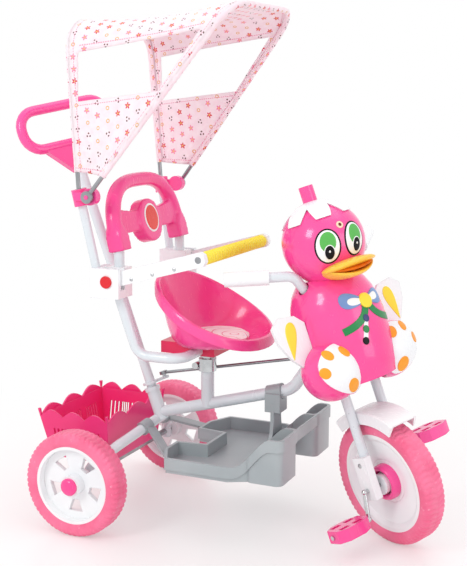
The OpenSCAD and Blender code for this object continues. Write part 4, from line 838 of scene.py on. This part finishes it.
# %% Groups: woven and stitches
woven, take, give = effect(
    "woven", [("Place", PLACE, (0, 0, 0)), ("Pitch", NUMBER, 0.0012)], [("Height", NUMBER)])
part = add(woven, "ShaderNodeSeparateXYZ", {0: take["Place"]}).outputs
turns = [calc(woven, "DIVIDE", calc(woven, "MULTIPLY", p, 2 * math.pi), take["Pitch"]) for p in part[:2]]
over, under = (calc(woven, "SINE", t) for t in turns)
feed(woven, give, {"Height": calc(woven, "MULTIPLY_ADD", calc(woven, "MULTIPLY", over, under), 0.5, 0.5)})

stitches, take, give = effect(
    "stitches", [("Across", NUMBER, 0.0), ("Along", NUMBER, 0.0), ("Line", NUMBER, 0.008),
                 ("Pitch", NUMBER, 0.0045)], [("Thread", NUMBER)])
off = calc(stitches, "ABSOLUTE", calc(stitches, "SUBTRACT", take["Across"], take["Line"]))
near = ramp(stitches, off, 0.0009, 0.0004)
beat = calc(stitches, "FRACT", calc(stitches, "DIVIDE", take["Along"], take["Pitch"]))
feed(stitches, give, {"Thread": calc(stitches, "MULTIPLY", near, calc(stitches, "LESS_THAN", beat, 0.68))})
print("groups:", woven.name, stitches.name)

# %% [markdown]
# The cushion's cover is a pale cotton with loose rose curves. A ring wave, bent by noise, draws the curves:
# only a narrow band of its values is inked.

# %% Finish: pad cover
pad_cover, tree, shader = new_finish("pad_fabric")
spot = own_place(tree)
weave = use(tree, woven, {"Place": spot, "Pitch": 0.0011})["Height"]
swirl = add(tree, "ShaderNodeTexWave", {"Vector": spot, "Scale": 9.0, "Distortion": 5.0, "Detail": 1.0,
                                        "Detail Scale": 1.2}, wave_type="RINGS", rings_direction="Z")
from_line = calc(tree, "ABSOLUTE", calc(tree, "SUBTRACT", swirl.outputs["Fac"], 0.5))
vine = ramp(tree, from_line, 0.13, 0.07)
soft = clouds(tree, spot, 40.0, 3.0)
cloth = mixed(tree, ramp(tree, soft, 0.3, 0.75), srgb(253, 240, 242), srgb(250, 230, 234))
feed(tree, shader, {"Base Color": mixed(tree, calc(tree, "MULTIPLY", vine, 0.85), cloth, srgb(226, 92, 136)),
                    "Roughness": calc(tree, "MULTIPLY_ADD", soft, 0.2, 0.6),
                    "Normal": relief(tree, weave, 0.3, 0.0004), "Sheen Weight": 0.2})
print("finish:", pad_cover.name)

# %% [markdown]
# ## Seat cushion
# A thin stuffed pad lies in the bucket. It starts as a lens slightly smaller than the solid: rings from the
# middle out to the rim, and a flat underside drawn in a little.

# %% Cushion: lens
pad_low, pad_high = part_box("seat_pad")
pad_mid = (pad_low + pad_high) / 2
half_x, half_y, tall = (pad_high.x - pad_low.x) / 2, (pad_high.y - pad_low.y) / 2, pad_high.z - pad_low.z
pad_floor = pad_low.z + 0.0003


def lens(share, under_share, rings=14, steps=72):
    points = []
    for i in range(rings):
        t = i / (rings - 1)
        r, z = math.sin(math.pi * t / 2) ** 0.8, math.cos(math.pi * t / 2) ** 0.6
        points += [(pad_mid.x + half_x * share * r * c, pad_mid.y + half_y * share * r * s,
                    pad_low.z + tall * (0.3 + 0.5 * z)) for c, s in circle(steps)]
    under = [(pad_mid.x + (x - pad_mid.x) * under_share, pad_mid.y + (y - pad_mid.y) * under_share, pad_floor)
             for x, y, z in points[-steps:]]
    bottom = tuple(rings * steps + k for k in range(steps))
    return points + under, strip(rings + 1, steps, closed=True) + [bottom]


lens_share, under_share = 0.98, 0.97
cushion = piece("seat_cushion", *lens(lens_share, under_share), pad_cover, None)
print("cushion: lens of", len(cushion.data.vertices), "points")

# %% [markdown]
# The lens is remeshed into even voxels and blown up by a short cloth simulation, held to a few millimetres of
# movement so that the pad stays inside the bucket.

# %% Cushion: stuffing
pad_voxel, pad_pressure, pad_frames, most_swell, over_pad = 0.0045, 4, 20, 0.004, 0.001
start = cushion.modifiers.new("voxels", "REMESH")
start.mode, start.voxel_size = "VOXEL", pad_voxel
bpy.context.view_layer.objects.active = cushion
cushion.select_set(True)
bpy.ops.object.modifier_apply(modifier="voxels")
still = np.array([v.co for v in cushion.data.vertices])
blow = cushion.modifiers.new("stuffing", "CLOTH")
blow.settings.use_pressure = True
blow.settings.uniform_pressure_force = pad_pressure
blow.settings.effector_weights.gravity = 0
for step in range(1, pad_frames + 1):
    scene.frame_set(step)
swollen = cushion.evaluated_get(bpy.context.evaluated_depsgraph_get())
moved = np.array([v.co for v in swollen.data.vertices]) - still
cushion.modifiers.remove(blow)
scene.frame_set(1)
reach = np.linalg.norm(moved, axis=1, keepdims=True)
moved *= np.minimum(1.0, most_swell / np.maximum(reach, 1e-9))
after = still + moved
after[:, 2] = np.clip(after[:, 2], pad_floor, pad_high.z + over_pad)
cushion.data.vertices.foreach_set("co", after.astype(np.float32).ravel())
print("cushion blown up by", round(float(reach.max()) * 1000, 1), "mm at most")
print("cushion ready for its rim:", len(cushion.data.polygons), "faces")

# %% [markdown]
# The sewn rim is pressed in afterwards, because remeshing would erase it: a narrow groove near the edge, on
# the upper side only.

# %% Cushion: sewn rim
rim_at, rim_wide, rim_deep = 0.84, 0.025, 0.0022
co = np.array([v.co for v in cushion.data.vertices])
share = np.hypot((co[:, 0] - pad_mid.x) / half_x, (co[:, 1] - pad_mid.y) / half_y)
seam = np.exp(-((share - rim_at) / rim_wide) ** 2) * (co[:, 2] > pad_low.z + tall * 0.3)
co[:, 2] -= rim_deep * seam
cushion.data.vertices.foreach_set("co", co.astype(np.float32).ravel())
cushion.data.polygons.foreach_set("use_smooth", [True] * len(cushion.data.polygons))
cushion.data.update()
cushion.modifiers.new("soft", "SUBSURF").levels = 1
cushion.modifiers["soft"].render_levels = 1
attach(cushion, "frame")
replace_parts(cushion, "seat_pad")
print("cushion:", len(cushion.data.vertices), "points")

# %% [markdown]
# ## The hood's cloth
# One printed cloth is sewn over two wire hoops: a top panel, two hanging side panels, and an open gap between
# them through which the child looks out. First come the lines of the two hoops, each from one foot over the
# top to the other, and the outward direction along them.

# %% Hoop lines
def rounded_corner(a, b, c, r, steps):
    u, w = (b - a).normalized(), (c - b).normalized()
    g = u.angle(w)
    start = b - u * r * math.tan(g / 2)
    middle = b + (w - u).normalized() * r / math.cos(g / 2)
    p = start - middle
    q = u.cross(w).cross(p).normalized()
    return [middle + p * math.cos(g * k / steps) + q * r * math.sin(g * k / steps) for k in range(steps + 1)]


def point(x, y, z):
    """Millimetres from the rear axle's middle, on the ground, to the shared frame."""
    return Vector((x / 1000 + row_x, y / 1000, z / 1000))


def flipped(p):
    return Vector((p.x, -p.y, p.z))


hoops = {"rear": (point(-6, 156, 632), point(-26, 150, 925)),
         "front": (point(25.6, 179.4, 620), point(288, 142, 950))}
leg_steps, arc_steps, top_steps, corner_r, cloth_foot = 44, 12, 12, 0.058, 0.13


def half_line(root, corner_at):
    """From a hoop's foot up the leg, round the corner and along the top to the middle, on the left side."""
    arc = rounded_corner(root, corner_at, flipped(corner_at), corner_r, arc_steps)
    leg = [root.lerp(arc[0], cloth_foot + (1 - cloth_foot) * k / leg_steps) for k in range(leg_steps)]
    crown = Vector((corner_at.x, 0.0, corner_at.z))
    top = [arc[-1].lerp(crown, k / top_steps) for k in range(1, top_steps + 1)]
    return leg + arc + top


def outward():
    leg = [Vector((0, 1, 0))] * leg_steps
    arc = [Vector((0, math.cos(math.pi / 2 * k / arc_steps), math.sin(math.pi / 2 * k / arc_steps)))
           for k in range(arc_steps + 1)]
    return leg + arc + [Vector((0, 0, 1))] * top_steps


def whole(half):
    return [flipped(p) for p in half] + list(reversed(half[:-1]))


rear_line, front_line = (whole(half_line(*hoops[k])) for k in ("rear", "front"))
out_line = whole(outward())
print("hoop lines of", len(rear_line), "points")

# %% [markdown]
# The cloth is one sheet, a grid that runs along the hoops and across from the rear hoop to the front one. It
# sags a little between the hoops, and small folds run in from the sewn edges.

# %% Canopy points
across = 40
last = len(rear_line) - 1
over_wire, top_sag, side_sag_share, hem_sag, hem_steps = 0.0052, 0.011, 0.35, 0.004, 8
edge_fold, ripple = 0.0022, 0.0035


def from_leg(i):
    """Steps from the nearer foot of the hoop."""
    return min(i, last - i)


def cloth_point(i, j):
    t = j / across
    sag = top_sag * math.sin(math.pi * t)
    low = from_leg(i)
    hangs = low < leg_steps
    middle = rear_line[i].lerp(front_line[i], t)
    tuck = math.exp(-min(t, 1 - t) * across / 3.0)
    folds = edge_fold * math.sin(i * 0.9 + 2.0 * math.sin(j * 0.35)) * tuck
    if hangs:
        folds += ripple * noise.noise(Vector((i * 0.11, j * 0.16, 3.0)))
    else:
        folds += ripple * (0.5 * noise.noise(Vector((i * 0.07, j * 0.13, 7.0))))
    folds *= min(1.0, 6 * t, 6 * (1 - t))
    if hangs:
        sag *= side_sag_share
        hem = max(0.0, 1 - low / hem_steps)
        sag += hem_sag * hem * math.sin(math.pi * t)
    return middle + out_line[i] * (over_wire - sag + folds)


grid = [cloth_point(i, j) for i in range(last + 1) for j in range(across + 1)]
print("canopy grid of", len(grid), "points")

# %% [markdown]
# The open gaps are left out of the grid's faces. Each point also keeps its place on the flat cloth, in
# metres, which the print and the weave are drawn on.

# %% Canopy sheet
gap_start, gap_end, gap_edge = int(leg_steps * 0.6), leg_steps, 3


def in_gap(i, j):
    return gap_start <= min(i, last - 1 - i) < gap_end and gap_edge <= j < across - gap_edge


wide = across + 1
quads = [(i * wide + j, i * wide + j + 1, (i + 1) * wide + j + 1, (i + 1) * wide + j)
         for i in range(last) for j in range(across) if not in_gap(i, j)]
mesh = bpy.data.meshes.new("canopy")
mesh.from_pydata([tuple(p) for p in grid], [], quads)
rear_steps = [(a - b).length for a, b in zip(rear_line[1:], rear_line[:-1])]
along_line = np.concatenate([[0.0], np.cumsum(rear_steps)])
spread = [(f - r).length for f, r in zip(front_line, rear_line)]
layer = mesh.uv_layers.new(name="cloth")
for loop in mesh.loops:
    i, j = divmod(loop.vertex_index, wide)
    layer.data[loop.index].uv = (float(along_line[i]), spread[i] * j / across)
print("canopy:", len(quads), "quads, laid flat", round(float(along_line[-1]), 3), "m long")

# %% [markdown]
# Stitches run beside the sewn hoop edges and beside the free hems, so each point also stores how far it lies
# from both. Then the loose points of the gaps are dropped.

# %% Seams of the canopy
def seam_values():
    """Metres from the sewn hoop edges, and from the free hems, for the stitch lines."""
    sewn, hemmed = [], []
    pitch = float(along_line[1] - along_line[0])
    for i in range(last + 1):
        low = from_leg(i)
        edges = [low * pitch, abs(low - gap_start) * pitch, abs(low - gap_end) * pitch]
        for j in range(across + 1):
            sewn.append(min(j, across - j) / across * spread[i])
            hemmed.append(min(edges) if gap_edge - 1 < j < across - gap_edge + 1 else low * pitch)
    return sewn, hemmed


for name, values in zip(("sewn", "hemmed"), seam_values()):
    mesh.attributes.new(name, "FLOAT", "POINT").data.foreach_set("value", values)
canopy = put("canopy", mesh)
form = bmesh.new()
form.from_mesh(mesh)
bmesh.ops.delete(form, geom=[v for v in form.verts if not v.link_faces], context="VERTS")
cloth_area = sum(f.calc_area() for f in form.faces)
form.to_mesh(mesh)
form.free()
mesh.polygons.foreach_set("use_smooth", [True] * len(mesh.polygons))
print("canopy:", len(mesh.polygons), "quads,", round(cloth_area, 4), "square metres")

# %% [markdown]
# ## The print
# The cloth is pale pink cotton with a scattered small print in red, rose, dark brown and gold. A generic
# print stands here: five-petal flowers, dots in threes and little rings, set in a half-drop lattice whose
# cells are picked at random. Everything is worked out from the cloth's own flat coordinates, so the print and
# the weave bend with it.

# %% Group: scatter_print
scatter_print, take, give = effect(
    "scatter_print", [("Place", PLACE, (0, 0, 0)), ("Cell", NUMBER, 0.024)],
    [("Flower", NUMBER), ("Heart", NUMBER), ("Dots", NUMBER), ("Ring", NUMBER), ("Pick", NUMBER)])
g = scatter_print
part = add(g, "ShaderNodeSeparateXYZ", {0: take["Place"]}).outputs
up = calc(g, "DIVIDE", part[1], take["Cell"])
row = calc(g, "FLOOR", up)
drop = calc(g, "MULTIPLY", calc(g, "MODULO", calc(g, "ABSOLUTE", row), 2.0), 0.5)
side = calc(g, "ADD", calc(g, "DIVIDE", part[0], take["Cell"]), drop)
column = calc(g, "FLOOR", side)
key = add(g, "ShaderNodeCombineXYZ", {0: column, 1: row}).outputs[0]
pick = add(g, "ShaderNodeTexWhiteNoise", {"Vector": key}, noise_dimensions="2D").outputs["Value"]
x = calc(g, "SUBTRACT", calc(g, "SUBTRACT", side, column), 0.5)
y = calc(g, "SUBTRACT", calc(g, "SUBTRACT", up, row), 0.5)
far = calc(g, "SQRT", calc(g, "ADD", calc(g, "MULTIPLY", x, x), calc(g, "MULTIPLY", y, y)))
angle = calc(g, "ADD", calc(g, "ARCTAN2", y, x), calc(g, "MULTIPLY", pick, 40.0))
petal = calc(g, "MULTIPLY_ADD", calc(g, "COSINE", calc(g, "MULTIPLY", angle, 5.0)), 0.075, 0.2)
first = calc(g, "LESS_THAN", pick, 0.42)
third = calc(g, "GREATER_THAN", pick, 0.72)
second = calc(g, "SUBTRACT", calc(g, "SUBTRACT", 1.0, first), third)
around = calc(g, "MULTIPLY_ADD", calc(g, "COSINE", calc(g, "MULTIPLY", angle, 3.0)), 0.05, 0.02)
three = calc(g, "SUBTRACT", around, calc(g, "ABSOLUTE", calc(g, "SUBTRACT", far, 0.15)))
loop_line = calc(g, "ABSOLUTE", calc(g, "SUBTRACT", far, 0.13))
feed(g, give, {
    "Flower": calc(g, "MULTIPLY", ramp(g, calc(g, "SUBTRACT", petal, far), -0.012, 0.012), first),
    "Heart": calc(g, "MULTIPLY", ramp(g, far, 0.085, 0.06), first),
    "Dots": calc(g, "MULTIPLY", ramp(g, three, -0.01, 0.015), second),
    "Ring": calc(g, "MULTIPLY", ramp(g, loop_line, 0.045, 0.025), third), "Pick": pick})
print("group:", g.name)

# %% [markdown]
# The cloth's finish prints the four inks over the cotton one after another, lays the thread on top, and lifts
# weave and thread in one bump. Thin cotton lets some light through, which a little subsurface stands for.

# %% Finish: canopy cloth
canopy_cloth, tree, shader = new_finish("hood_fabric")
flat_place = add(tree, "ShaderNodeUVMap", uv_map="cloth").outputs[0]
inks = use(tree, scatter_print, {"Place": flat_place, "Cell": 0.021})
weave = use(tree, woven, {"Place": flat_place, "Pitch": 0.0012})["Height"]
part = add(tree, "ShaderNodeSeparateXYZ", {0: flat_place}).outputs
seams = []
for name, line, along in (("sewn", 0.011, part[0]), ("hemmed", 0.007, part[1])):
    off = add(tree, "ShaderNodeAttribute", attribute_name=name).outputs["Fac"]
    seams.append(use(tree, stitches, {"Across": off, "Along": along, "Line": line})["Thread"])
thread = calc(tree, "MAXIMUM", *seams)
slub = clouds(tree, flat_place, 70.0, 4.0)
ground = mixed(tree, ramp(tree, slub, 0.3, 0.75), srgb(250, 232, 238), srgb(247, 222, 231))
red = mixed(tree, calc(tree, "GREATER_THAN", inks["Pick"], 0.2), srgb(212, 58, 84), srgb(240, 140, 170))
inked = mixed(tree, inks["Flower"], ground, red)
inked = mixed(tree, inks["Heart"], inked, srgb(244, 206, 110))
inked = mixed(tree, inks["Dots"], inked, srgb(96, 52, 52))
inked = mixed(tree, inks["Ring"], inked, srgb(226, 172, 92))
raised = calc(tree, "MULTIPLY_ADD", thread, 1.5, weave)
feed(tree, shader, {"Base Color": mixed(tree, thread, inked, srgb(226, 150, 176)),
                    "Roughness": calc(tree, "MULTIPLY_ADD", slub, 0.15, 0.68),
                    "Normal": relief(tree, raised, 0.35, 0.0004), "Sheen Weight": 0.15,
                    "Subsurface Weight": 0.5, "Subsurface Radius": (1.0, 0.85, 0.9),
                    "Subsurface Scale": 0.003})
mesh.materials.append(canopy_cloth)
cloth_thick = 0.0009
canopy.modifiers.new("cloth_thickness", "SOLIDIFY").thickness = cloth_thick
canopy.modifiers["cloth_thickness"].offset = 0
print("finish:", canopy_cloth.name)

# %% [markdown]
# Cloth tunnels wrap the wires. Each is a thin tube round its hoop with small puckers, printed as the sheet
# is.

# %% Sleeves on the hoops
def sleeve(name, line, body, radius=0.0056, sides=14):
    points, uvs, travelled = [], [], 0.0
    for k, p in enumerate(line):
        ahead = heading(line, k)
        u = ahead.cross(Vector((1, 0, 0))).normalized()
        w = ahead.cross(u)
        travelled += (p - line[k - 1]).length if k else 0.0
        pucker = 1 + 0.06 * math.sin(travelled * 900) * noise.noise(p * 40) + 0.07 * noise.noise(p * 90)
        points += [p + (u * c + w * s) * radius * pucker for c, s in circle(sides)]
        uvs += [(travelled, radius * 2 * math.pi * s / sides) for s in range(sides)]
    made = piece(name, points, strip(len(line), sides, closed=True), canopy_cloth, None, "canopy_cloth")
    layer = made.data.uv_layers.new(name="cloth")
    for loop in made.data.loops:
        layer.data[loop.index].uv = uvs[loop.vertex_index]
    for label in ("sewn", "hemmed"):
        made.data.attributes.new(label, "FLOAT", "POINT").data.foreach_set("value", [1.0] * len(points))
    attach(made, body)
    return made


sleeve_rear = sleeve("canopy_sleeve_rear", rear_line, "frame")
sleeve_front = sleeve("canopy_sleeve_front", front_line, "hood_front")
print("sleeves of", len(sleeve_rear.data.vertices), "points each")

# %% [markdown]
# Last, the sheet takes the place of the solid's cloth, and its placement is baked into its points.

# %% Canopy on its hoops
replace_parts(canopy, "canopy_fabric")
tuple(rear_line[last // 2])
tuple(front_line[last // 2])
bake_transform(canopy)

# %% [markdown]
# ## Stage
# The photograph has a plain white sweep with a faint soft shadow and a little pink reflected in the floor.
# The floor is pale and slightly glossy near the trike and fades to plain white further out, but only for rays
# that look straight at it, so that its glow doesn't light the trike.

# %% Floor
def looking(tree):
    """1 for a ray from the camera, off a shine or through a clear thing, and 0 for scattered light."""
    seen = add(tree, "ShaderNodeLightPath").outputs
    shiny = calc(tree, "MAXIMUM", seen["Is Camera Ray"], seen["Is Glossy Ray"])
    return calc(tree, "MAXIMUM", shiny, seen["Is Transmission Ray"])


floor_finish, tree, shader = new_finish("floor_white")
spot = own_place(tree)
dust = clouds(tree, spot, 6.0, 4.0)
feed(tree, shader, {"Base Color": mixed(tree, dust, srgb(252, 248, 248), srgb(250, 244, 244)),
                    "Roughness": calc(tree, "MULTIPLY_ADD", dust, 0.1, 0.28)})
white = add(tree, "ShaderNodeEmission", {"Color": WHITE, "Strength": 1.0})
reach = add(tree, "ShaderNodeVectorMath", {0: spot}, operation="LENGTH").outputs["Value"]
fade_near, fade_far, floor_rings = 0.35, 1.1, (0.01, 1.0, 9.0)
fade = calc(tree, "MULTIPLY_ADD", ramp(tree, reach, fade_near, fade_far), 0.62, 0.38)
sweep = add(tree, "ShaderNodeMixShader", {0: calc(tree, "MULTIPLY", fade, looking(tree)),
                                          1: shader.outputs[0], 2: white.outputs[0]})
feed(tree, tree.nodes["Material Output"], {"Surface": sweep.outputs[0]})
ring = circle(64)
floor_mesh = bpy.data.meshes.new("studio_floor")
floor_mesh.from_pydata([(x * r, y * r, 0.0) for r in floor_rings for x, y in ring], [],
                       strip(3, len(ring), closed=True) + [tuple(range(len(ring)))])
floor_mesh.materials.append(floor_finish)
floor = put("studio_floor", floor_mesh)
print("floor ready")

# %% [markdown]
# ## Light
# A white studio lights the trike from all round. One soft box on the left gives the square highlights on the
# duck and seat; a wide top light and a weak right fill do the rest.

# %% World and lamps
scene.world = bpy.data.worlds.new("studio")
scene.world.use_nodes = True
tree = scene.world.node_tree
feed(tree, tree.nodes["Background"], {"Color": WHITE,
                                      "Strength": calc(tree, "MULTIPLY_ADD", looking(tree), 0.1, 0.9)})
lamp_aim = Vector((0.0, 0.0, 0.45))
soft_boxes = (("key_left", (-0.75, -2.1, 1.75), 0.7, 0.9, 15), ("top_wide", (0.2, 0.3, 2.6), 1.8, 1.8, 8),
              ("fill_right", (2.3, -0.7, 1.0), 1.0, 1.2, 6))
for name, place, wide, tall, watts in soft_boxes:
    lamp = bpy.data.lights.new(name, "AREA")
    lamp.shape, lamp.size, lamp.size_y, lamp.energy = "RECTANGLE", wide, tall, watts
    box = put(name, lamp)
    box.location = place
    box.rotation_euler = (lamp_aim - box.location).to_track_quat("-Z", "Y").to_euler()
